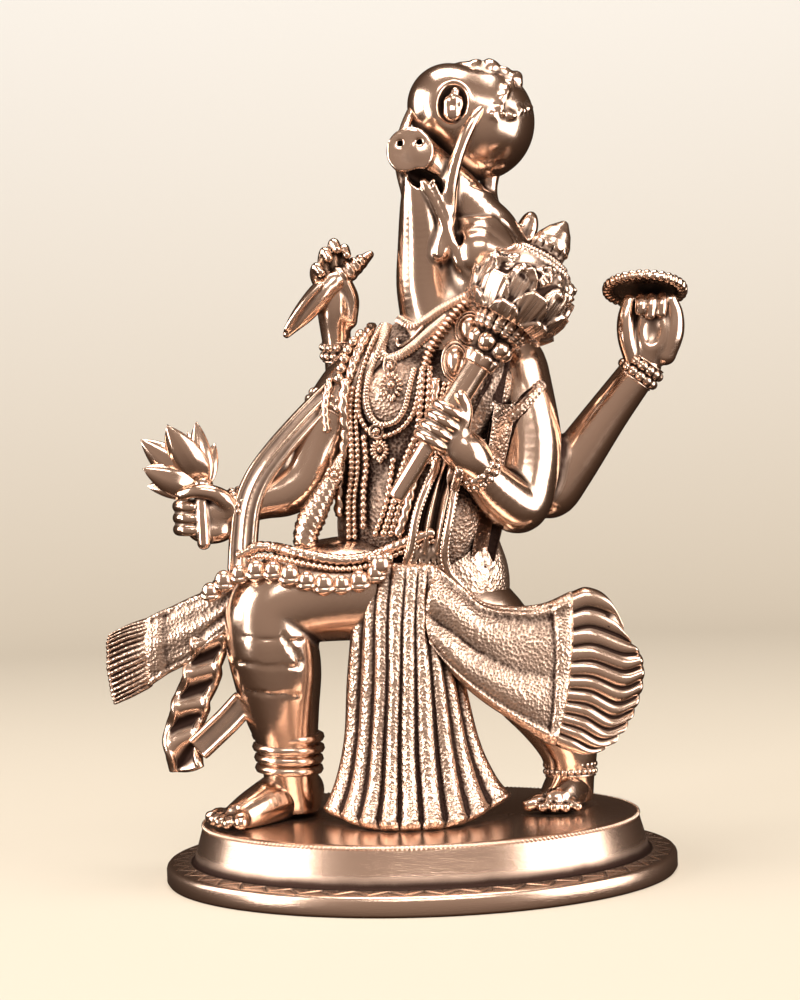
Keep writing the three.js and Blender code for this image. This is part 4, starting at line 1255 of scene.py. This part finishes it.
def gem(shell, centre, wide, tall):
    """A smooth oval stone in a beaded rim."""
    centre = np.array(centre, float)
    bead(shell, centre, (wide * 0.62, tall * 0.62, wide * 0.55), (0, -1, 0), True)
    turn = np.linspace(0, 2 * math.pi, 17)
    rim = centre + np.stack([wide * np.cos(turn), 0.4 + 0 * turn, tall * np.sin(turn)], -1)
    tube(shell, np.vstack([rim, rim[1]]), 0.55, 6)
    return shell


def leaf_pendant(shell, centre, wide, tall):
    """A leaf of small lobes round a stone, with its point down."""
    centre = np.array(centre, float)
    bead(shell, centre, (wide * 0.36, tall * 0.34, 1.4), (0, -1, 0), True)
    for k, t in enumerate(np.linspace(0, 2 * math.pi, 14, endpoint=False)):
        reach = 0.78 + 0.2 * max(0.0, -math.sin(t)) ** 2
        spot = centre + (wide * reach * math.cos(t), 0.5, tall * reach * math.sin(t))
        way = np.array((math.cos(t), 0, math.sin(t)))
        bead(shell, spot, (0.75, 0.75, 1.35), way)
    bead(shell, centre + (0, 0.5, -tall * 1.15), (0.8, 0.8, 1.6), (0, 0, 1))
    return shell


# The skirt and the stoles

SKIRT = [
    [[-21, -15, 119], [-12, -21, 119], [0, -23, 118], [8, -21, 118], [14, -15, 118]],
    [[-24, -15, 99], [-14, -23, 99], [-2, -25, 98], [8, -22, 98], [15, -14, 98]],
    [[-27, -14, 76], [-15, -24, 76], [-3, -27, 76], [10, -24, 75], [19, -13, 75]],
    [[-29, -12, 54], [-17, -25, 53], [-4, -29, 52], [12, -25, 52], [24, -11, 52]],
    [[-33, -10, 38], [-19, -27, 37], [-4, -32, 36], [14, -27, 36], [30, -9, 38]],
    [[-38, -8, 27], [-22, -31, 25], [-4, -37, 24.4], [16, -31, 25], [36, -7, 30]],
]


def skirt():
    shell = Shell()
    grid = net(SKIRT, 110, 120)
    pleats = 9

    def relief(u, v, grid):
        swing = np.abs(np.sin(np.pi * pleats * v))
        spread = 0.8 + 2.6 * u
        return spread * (swing ** 0.8 - 0.6) + 0.5 * np.exp(-((u - 0.985) / 0.012) ** 2)

    cloth(shell, grid, 5.0, relief)
    return shell


LEFT_STOLE = [
    [[6, -24, 88.6], [5, -25, 96], [6, -24, 106], [10, -20, 119]],
    [[13.7, -24, 77.9], [14, -25, 88], [16, -23, 100], [18.3, -18, 111.3]],
    [[24.6, -22.4, 67.6], [24, -23, 80], [25, -21, 93], [26, -17.4, 103.6]],
    [[36.7, -21, 58.9], [37, -22, 72], [37.6, -19, 88], [38, -16, 101.1]],
    [[47, -20, 52], [49, -20, 68], [50, -18, 86], [49, -15, 101.6]],
    [[51.6, -19, 50], [56.4, -18, 68], [59, -16.6, 87], [59.6, -15, 105.6]],
]


def left_stole():
    shell = Shell()

    def relief(u, v, grid):
        border = 1.2 * (np.exp(-((v - 0.05) / 0.035) ** 2) + np.exp(-((v - 0.95) / 0.035) ** 2))
        folds = 2.6 * np.abs(np.sin(np.pi * (2.0 * v + 0.05))) - 1.2
        band = 1.3 * np.exp(-((u - 0.93) / 0.07) ** 6)
        return border + folds * np.clip(1.25 - u, 0.25, 1) + band

    cloth(shell, net(LEFT_STOLE, 90, 90), 4.5, relief)
    return shell


LEFT_FRINGE = [
    [[51.2, -18, 50], [55.6, -17, 64], [58.4, -16, 82], [58.8, -15, 105]],
    [[56.6, -17.4, 47], [64, -17, 62], [67, -16, 82], [66, -15, 107]],
    [[62, -15, 44.6], [73, -16, 57], [78, -15, 78], [74, -14, 103.6]],
    [[66.6, -13, 45.8], [81.4, -14, 59], [84.6, -14, 79], [77.6, -13, 95]],
]


def left_fringe():
    shell = Shell()
    pleats = 11

    def relief(u, v, grid):
        return (2.6 * np.abs(np.sin(np.pi * pleats * v)) ** 0.7 - 1.2) * (0.4 + 0.6 * u) + 1.6 * np.sin(np.pi * 4 * v) * u

    cloth(shell, net(LEFT_FRINGE, 50, 130), 5.0, relief)
    return shell


RIGHT_STOLE = [
    [[-70, -8, 118], [-68, -10, 111], [-67, -11, 105], [-67, -10, 98]],
    [[-76.6, -8, 112], [-75, -10, 105], [-75, -10, 99], [-78, -9, 91]],
    [[-86, -6, 108], [-85, -8, 101], [-85, -8, 92], [-86.6, -6, 84]],
    [[-96, -4, 103.6], [-97, -6, 96], [-97, -6, 87], [-96, -4, 79.4]],
    [[-102.6, -3, 100.6], [-103.6, -5, 93], [-103.4, -5, 84], [-103, -3, 75]],
]
RIGHT_FRINGE = [
    [[-102, -3, 101], [-102.8, -5, 93], [-102.8, -5, 83], [-102.4, -3, 74.4]],
    [[-109.6, -3, 99], [-110, -5, 91], [-110, -5, 80], [-109, -3, 71]],
    [[-116.8, -2, 95.6], [-117.6, -4, 88], [-117, -4, 77], [-115.6, -2, 68.2]],
]


def right_stole():
    shell = Shell()
    cloth(shell, net(RIGHT_STOLE, 60, 50), 3.5,
          lambda u, v, grid: 0.9 * np.exp(-((v - 0.04) / 0.05) ** 2) + 0.9 * np.exp(-((v - 0.96) / 0.05) ** 2)
          + 1.2 * np.sin(np.pi * 3 * v) ** 2 * (1 - u) + 0.9 * np.exp(-((u - 0.86) / 0.13) ** 6))
    cloth(shell, net(RIGHT_FRINGE, 30, 110), 4.0,
          lambda u, v, grid: 1.1 * np.abs(np.sin(np.pi * 15 * v)) * (0.3 + u) + 1.0 * np.sin(np.pi * 3 * v) ** 2)
    return shell


LOOP = [[-22, -6, 191], [-30, -9, 184], [-40, -12, 174], [-50, -14, 163], [-57.4, -15, 153], [-61.6, -15, 143],
        [-63.6, -14, 131], [-64.6, -14, 118]]


def shoulder_loop():
    """The stole that falls from the right shoulder to the lap."""
    shell = Shell()
    middle = curve(LOOP, 12)
    way = np.gradient(middle, axis=0)
    side = np.cross(way, (0, 1, 0))
    side /= np.linalg.norm(side, axis=1, keepdims=True)
    width = np.linspace(4.4, 5.4, len(middle))[:, None]
    grid = np.stack([middle + side * width * s + np.array((0, 1, 0)) * abs(s) * 1.4 for s in np.linspace(-1, 1, 25)], axis=1)
    cloth(shell, grid, 2.6, lambda u, v, grid: 0.9 * np.exp(-((v - 0.1) / 0.07) ** 2) + 0.9 * np.exp(-((v - 0.9) / 0.07) ** 2)
          + 0.4 * np.exp(-((v - 0.5) / 0.1) ** 2))
    return shell


RIBBON_A = [[-78, -8, 95], [-79.6, -8, 87], [-82, -7, 79], [-85.6, -6, 70], [-88.6, -5, 62], [-90.6, -5, 53], [-89, -5, 43]]
RIBBON_B = [[-66, -9, 68], [-72.4, -8.6, 61.4], [-78.8, -8, 55.6], [-84, -8, 51]]


def ribbons():
    shell = Shell()
    for path, wide, waves, deep in ((RIBBON_A, 6.4, 4, 1.6), (RIBBON_B, 4.6, 0, 0)):
        middle = curve(path, 12)
        way = np.gradient(middle, axis=0)
        side = np.cross(way, (0, 1, 0))
        side /= np.linalg.norm(side, axis=1, keepdims=True)
        u = np.linspace(0, 1, len(middle))[:, None]
        width = wide * (1 + 0.16 * np.sin(2 * math.pi * waves * u))
        grid = np.stack([middle + side * width * s + np.array((0, -1, 0)) * deep * np.sin(2 * math.pi * waves * u + 2 * s)
                         for s in np.linspace(-1, 1, 21)], axis=1)
        cloth(shell, grid, 2.8, lambda u, v, grid: 0.8 * np.exp(-((v - 0.1) / 0.07) ** 2) + 0.8 * np.exp(-((v - 0.9) / 0.07) ** 2))
    return shell


SHOULDER_CLOTH = [
    [(34, 208), (42, 208.6), (49, 207), (55, 203)], [(33, 198), (41, 199), (50, 199), (59, 196)],
    [(31, 188), (38, 189.6), (46, 189.6), (55.4, 191)], [(27, 180), (33, 179.6), (40, 180), (48.6, 183.6)],
    [(23, 173), (28, 171.4), (34, 171.4), (41, 176)], [(20, 166.6), (22.6, 165.4), (25, 165), (29, 166.4)],
]


def shoulder_cloth():
    """The dotted cloth over the left shoulder, with a ribbed edge and two curved slits."""
    shell = Shell()
    rows = [[[x, bare.at(x, z) - 0.6, z] for x, z in row] for row in SHOULDER_CLOTH]
    slits = ([(41.8, 198), (42, 193.4), (38.8, 189), (35.6, 186.3), (35.6, 182), (37.4, 178.8)],
             [(49, 203), (51, 198), (53.6, 195.4)])

    def relief(u, v, grid):
        press = sum(np.exp(-(line_gap(grid, slit) / 0.75) ** 2) for slit in slits)
        dots = np.maximum(np.sin(grid[..., 0] * 3.4) * np.sin(grid[..., 2] * 3.4), 0)
        return 0.8 - 1.4 * press - 0.35 * dots

    cloth(shell, net(rows, 90, 80), 2.0, relief)
    edge = bare.lay([(51, 185), (46, 179.6), (40.6, 174.4), (34, 169), (27.6, 164)], 1.0, 1.0)
    tube(shell, edge, 1.9, 10)
    ribs(shell, edge - (0, 0.7, 0), 2.3, 0.5, 1.75, 1.9)
    return shell


FRONT_STOLE = [
    [(10.6, 158), (13, 158), (15.6, 158), (18, 157)], [(6.6, 147), (9.4, 147), (13, 147), (16.2, 146.6)],
    [(2.8, 137.4), (6.6, 137.2), (10.6, 137), (14.3, 137)], [(0.4, 125), (4, 125), (8, 124.8), (11.8, 124.6)],
    [(-1.6, 117.5), (3, 117), (8, 116.6), (12.9, 116.3)], [(-0.4, 108.4), (5, 108.6), (11, 109), (18.5, 109.1)],
]
STOLE_TOP_EDGE = [(18.5, 109.4), (23.6, 105.2), (29.4, 102.4), (39, 100.8), (47.3, 101.4), (56, 105)]


def front_stole():
    """The stole from the left shoulder to the lap, folded above and with a dotted panel below."""
    shell = Shell()
    rows = [[[x, bare.at(x, z) - 2.4, z] for x, z in row] for row in FRONT_STOLE]

    def relief(u, v, grid):
        folds = 1.5 * np.cos(2 * math.pi * (2.5 * v + 0.1 * np.sin(5 * u))) * np.clip((0.66 - u) * 8, 0, 1)
        panel = np.clip((u - 0.66) * 12, 0, 1)
        dots = np.maximum(np.sin(grid[..., 0] * 2.6) * np.sin(grid[..., 2] * 2.6), 0) ** 2
        seams = sum(np.exp(-((v - place) / 0.03) ** 2) for place in (0.26, 0.62, 0.78))
        return folds + panel * (0.8 - 0.9 * dots - 0.9 * seams)

    cloth(shell, net(rows, 90, 50), 3.0, relief)
    for places in ([(10, 158), (9.4, 154), (5.9, 147), (2.1, 137.4), (-0.6, 125), (-2.6, 117.5), (-1.4, 108)],
                   [(18.4, 154), (16.6, 146.6), (14.6, 137), (12.1, 124.6), (13.2, 116.3), (18.7, 109.4)]):
        edge = bare.lay(places, 1.0, 3.0)
        tube(shell, edge, 1.5, 10)
        ribs(shell, edge - (0, 0.5, 0), 1.8, 0.5, 1.7, 1.5)
    return shell


HIPS = [[5, 3.4, 88, 26.6, 16.6], [6.4, 3.6, 104, 30.6, 19.6], [6, 3.2, 116, 31.2, 20], [3.4, 2.6, 128, 30.2, 19.4],
        [1.6, 2.2, 138, 29.4, 18.6]]


def hips():
    """The cloth round the hips, with leaf lines cut into it."""
    block = Block((-34, -26, 86), (44, 34, 142), 1.1)
    block.add(tower(HIPS), 0)
    block.add(ball((4, 18, 107), (27, 13.4, 20)), 8)
    for lines in LEAF_LINES:
        places = [(p[0], p[1]) for p in curve(lines, 5)]
        groove(block, drape([block], places, 0.1), 0.42, 0.3)
    return block


LEAF_LINES = [
    [(22.8, 138), (23.6, 132), (26, 124), (29, 116), (33.4, 107)], [(27, 131), (29.4, 126), (31, 121)],
    [(23.4, 128), (27.4, 123), (31.6, 117.6)], [(25.4, 118.5), (29.6, 116), (33.6, 115)], [(26.6, 112.4), (30.6, 110), (34.6, 105.8)],
    [(21, 121), (24, 115), (27, 110), (29, 105)], [(28, 129), (31.4, 123), (34, 116)],
]

bare = Front(*[bpy.data.objects[name] for name in ("torso", "arms", "head")])
piece("shoulder_cloth", shoulder_cloth(), cloth_brass)
piece("front_stole", front_stole(), ornament_brass)
piece("hips", hips(), cloth_brass)
piece("skirt", skirt(), cloth_brass)
piece("left_stole", left_stole(), cloth_brass)
piece("left_fringe", left_fringe(), ornament_brass)
piece("right_stole", right_stole(), cloth_brass)
piece("shoulder_loop", shoulder_loop(), ornament_brass)
piece("ribbons", ribbons(), ornament_brass)




def necklaces():
    shell = Shell()
    lay = bare.lay
    ribs(shell, lay([(-2.4, 212.6), (-0.9, 211.6), (3.2, 209.1), (9.0, 211.6), (13.3, 214.5), (19.5, 217.7), (27, 221)],
                    1.0, 0.6), 1.9, 0.62, 1.35, 0.9)
    ribs(shell, lay([(-6.4, 211), (-8.4, 204.6), (-9.2, 199.6), (-6.6, 196.8), (-1.3, 198.3), (3.6, 201.6), (9, 206), (16, 211.4)],
                    1.0, 0.6), 2.2, 0.6, 1.25, 0.9)
    rope(shell, lay([(-3, 205), (-2.4, 201.6), (1.6, 203.6), (7, 208.6)], 1.0, 0.5), 0.7)
    outer = [(-8.6, 211), (-13.2, 202), (-17.4, 190), (-18.6, 179), (-16.2, 171.6), (-11.6, 167.4), (-4, 169), (1.6, 174.6),
             (4.0, 182), (5.2, 189), (7.6, 195)]
    inner = [(-7.0, 207), (-10.8, 199), (-14.4, 189), (-15.2, 180), (-12.8, 173.6), (-9.4, 171.6), (-4.2, 173), (-0.8, 178),
             (1.0, 185), (3, 192)]
    beads(shell, lay(outer, 1.0, 0.9), 1.25, 2.0)
    ribs(shell, lay(inner, 1.0, 0.8), 1.2, 0.6, 1.3, 1.1)
    for spot in lay([(23.4, 216.4), (19.2, 212.6), (15.2, 207.6), (11.6, 202.6), (9, 198), (7.6, 193.4)], 2.2, 1.6):
        way = np.array((0.66, 0, 0.75))
        bead(shell, spot, (3.2, 2.6, 1.1), way)
    return shell


def pendants():
    shell = Shell()
    lay = bare.lay
    y = lambda x, z, proud: (x, bare.at(x, z) - proud, z)
    gem(shell, y(-6.0, 193.6, 1.6), 2.3, 2.9)
    leaf_pendant(shell, y(-5.8, 186.4, 1.8), 4.2, 4.8)
    gem(shell, y(-12.0, 169.2, 2.4), 2.5, 2.5)
    leaf_pendant(shell, y(-10.9, 162.4, 2.2), 3.1, 3.6)
    for x, z, wide, tall in ((24.6, 206.8, 4.4, 5.4), (18.6, 194.2, 4.0, 6.0)):
        spot = y(x, z, 2.2)
        bead(shell, spot, (wide * 0.9, tall * 0.95, 3.2), (0, -1, 0), True)
        turn = np.linspace(0, 2 * math.pi, 25)
        for reach in (1.02, 1.24):
            rim = np.array(spot) + np.stack([wide * reach * np.cos(turn), 1.0 + 0 * turn, tall * reach * np.sin(turn)], -1)
            tube(shell, rim, 0.6, 6)
    return shell


def garlands():
    shell = Shell()
    lay = bare.lay
    for places, radius, kind in GARLANDS:
        path = lay(places, 1.0, radius * 0.7, 5)
        if kind == "rope":
            rope(shell, path, radius)
        elif kind == "pair":
            side = np.array((radius * 0.62, 0, 0))
            beads(shell, path - side, radius * 0.68, radius * 1.15)
            beads(shell, path + side, radius * 0.68, radius * 1.15)
        else:
            beads(shell, path, radius, radius * 1.7)
    return shell


GARLANDS = [
    ([(-17, 207), (-21, 202.6), (-23.6, 197), (-25.6, 190)], 2.2, "beads"),
    ([(-12.6, 211), (-16, 204), (-19.4, 197), (-21.6, 190)], 1.7, "rope"),
    ([(-22.7, 189.3), (-24.1, 179.6), (-23.6, 169), (-25.2, 158.6), (-26.7, 148), (-27, 138)], 2.0, "rope"),
    ([(-19.4, 186), (-20.6, 176), (-20.4, 166), (-20.7, 155), (-22.2, 143.8), (-22.6, 130)], 1.9, "pair"),
    ([(-16.6, 167), (-16, 158), (-17.4, 147), (-18, 134)], 1.5, "beads"),
    ([(7.6, 192), (6.3, 178.5), (4.4, 168.1), (0.7, 160), (-2.6, 151), (-5.4, 141), (-9, 131)], 2.2, "pair"),
    ([(11, 188), (9.6, 178), (7.6, 168), (4.4, 159), (1.4, 150), (-1.4, 140), (-5, 130)], 1.7, "rope"),
    ([(-6, 158), (-7.4, 150), (-9.4, 141), (-13.4, 131)], 1.5, "beads"),
    ([(15, 186), (12.4, 176), (10.4, 166), (8.6, 157)], 1.6, "pair"),
    ([(-29, 190), (-31, 180), (-30.6, 170)], 1.4, "rope"),
]

piece("necklaces", necklaces(), ornament_brass)
piece("pendants", pendants(), ornament_brass)
piece("garlands", garlands(), ornament_brass)

wrapped = Front(*[bpy.data.objects[name] for name in ("torso", "arms", "legs", "skirt", "left_stole")])


def girdle():
    shell = Shell()
    lay = wrapped.lay
    chain_places = [(-66, 124), (-58.4, 127.1), (-49.1, 126.1), (-38.0, 123.5), (-26.9, 121.6), (-15.8, 122.5), (-4, 127), (8, 131)]
    rope(shell, lay(chain_places, 1.0, 1.4), 2.0, 5.5)
    beads(shell, lay([(x, z - 3.4) for x, z in chain_places], 1.0, 1.4), 1.3, 2.2)
    spots = lay([(-76, 111), (-71.4, 114.6), (-62.0, 118), (-52.7, 118.6), (-45.4, 116.6), (-38.1, 114), (-30.8, 112.6),
                 (-22, 113), (-14.0, 116)], 6.4, 2.4, 1)
    for k, spot in enumerate(spots):
        size = 4.0 + 0.5 * (k % 2)
        bead(shell, spot, (size * 0.82, size, size * 0.7), (0.1, -1, -0.35), True)
        bead(shell, spot + (0, 0.6, -0.9), (size * 1.06, size * 0.5, size * 0.9), (0, -1, -0.5), True)
    for x, z, wide in ((-12, 119.5, 4.4),):
        y = wrapped.at(x, z) - 3
        for corner in ((-5.2, 0, 4.4), (5.2, 0, 4.4), (0, 0, -6)):
            bead(shell, (x + corner[0] * 0.55, y + 0.6, z + corner[2] * 0.55), (2.2, 2.2, 2.0), (0, -1, 0), True)
        bead(shell, (x, y, z), (wide * 0.8, wide * 0.9, 2.6), (0, -1, 0), True)
    return shell


def tassel():
    """The thick twisted tassel on the right thigh, with a flower on it."""
    shell = Shell()
    path = bare.lay([(-25.9, 160.2), (-28.4, 153.4), (-32.0, 147), (-35.9, 140.4), (-39.4, 133), (-40.4, 127)], 0.8, 3.4, 6)
    path[:, 1] = np.minimum(path[:, 1], -13)
    radii = np.interp(np.linspace(0, 1, len(path)), [0, 0.2, 0.7, 1], [1.4, 3.0, 5.0, 4.2])
    tube(shell, path, radii, 20, 2.6, 5, 0.14)
    flower(shell, path[int(len(path) * 0.2)] + (0, -2.6, 0), 3.6, 9)
    return shell


def bands():
    """Bracelets, armbands and anklets."""
    shell = Shell()
    bracelet(shell, (91.2, 4.1, 190.6), (12, -3, 15), 8.0, 2, 1.9)
    bracelet(shell, (-26.3, 12.6, 202.6), (0, -0.2, 1), 6.6, 2, 1.7)
    bracelet(shell, (-64.0, -7, 143), (-12, -2.2, -3), 7.4, 3, 1.3)
    bracelet(shell, (25.6, -25.6, 153.4), (-9, -8, 9), 7.9, 2, 1.7)
    bracelet(shell, (-27.4, 1.4, 178.6), (-10, -3, -16), 12.4, 2, 1.5)
    for z, radius in ((54, 12.2), (49.6, 12.2), (45.4, 11.6), (41.4, 11.4)):
        spots = ring_places((-50, -1.2 + (54 - z) * 0.1, z), (0.06, 0, 1), radius, 60)
        tube(shell, np.vstack([spots, spots[:2]]), 1.9, 8)
    bracelet(shell, (58.9, 5.6, 37), (0, 0.1, 1), 10.2, 2, 1.3)
    return shell


piece("girdle", girdle(), ornament_brass)
piece("tassel", tassel(), ornament_brass)
piece("bands", bands(), ornament_brass)


# The plinth

DRUM = (84.0, 61.0)
DRUM_TOP = 22.0
LEDGE_TOP = 7.5


def oval_ring(grow, height, count):
    """Points round the oval drum, grown outwards by a distance."""
    turn = np.linspace(0, 2 * math.pi, count, endpoint=False)
    a, b = DRUM[0] + grow, DRUM[1] + grow
    return np.stack([a * np.cos(turn), b * np.sin(turn), np.broadcast_to(height, turn.shape)], -1)


def drum():
    shell = Shell()
    count = 720
    profile = [(-60.9, DRUM_TOP), (-30, DRUM_TOP), (-3, DRUM_TOP), (-1.6, DRUM_TOP), (-0.4, DRUM_TOP - 0.5), (0, DRUM_TOP - 1.6),
               (0.3, DRUM_TOP - 3), (2.0, 13), (3.2, 8.6), (3.6, LEDGE_TOP + 0.3)]
    profile += [(4.0 + 0.42 * k, LEDGE_TOP - 0.006 * k) for k in range(21)]
    profile += [(13.1, LEDGE_TOP - 0.3), (13.7, LEDGE_TOP - 1.0), (14, LEDGE_TOP - 2), (14, 1.2), (13.2, 0), (6, 0), (-40, 0),
                (-60.9, 0)]
    turn = np.linspace(0, 2 * math.pi, count, endpoint=False)
    periods = 46
    zigzag = np.abs(((turn * periods / (2 * math.pi)) % 1) * 2 - 1)
    rings = []
    for grow, height in profile:
        ring = oval_ring(grow, height, count)
        if 4.2 < grow < 12.6 and height > LEDGE_TOP / 2:
            line = np.abs((grow - 5.4) / 6.0 - zigzag) * 6 * 0.72
            dot = (grow - 5.6) ** 2 + ((((turn * periods / (2 * math.pi)) % 1) - 0.02) * 12) ** 2
            ring[:, 2] -= 0.7 * np.exp(-(line / 0.42) ** 2) + 0.5 * np.exp(-dot / 0.5)
        rings.append(ring)
    shell.take(np.array(rings).reshape(-1, 3), grid_faces(len(profile), count, True))
    return shell


def drum_beads():
    """The knurled cord round the top edge of the drum."""
    shell = Shell()
    spots = even(np.vstack([oval_ring(-0.3, DRUM_TOP - 0.9, 720), oval_ring(-0.3, DRUM_TOP - 0.9, 720)[:1]]), 1.7)[:-1]
    for spot, way in zip(spots, np.gradient(spots, axis=0)):
        bead(shell, spot, (0.75, 0.95, 0.75), way)
    return shell


piece("drum", drum(), drum_brass, "plinth")
piece("drum_cord", drum_beads(), ornament_brass, "plinth")
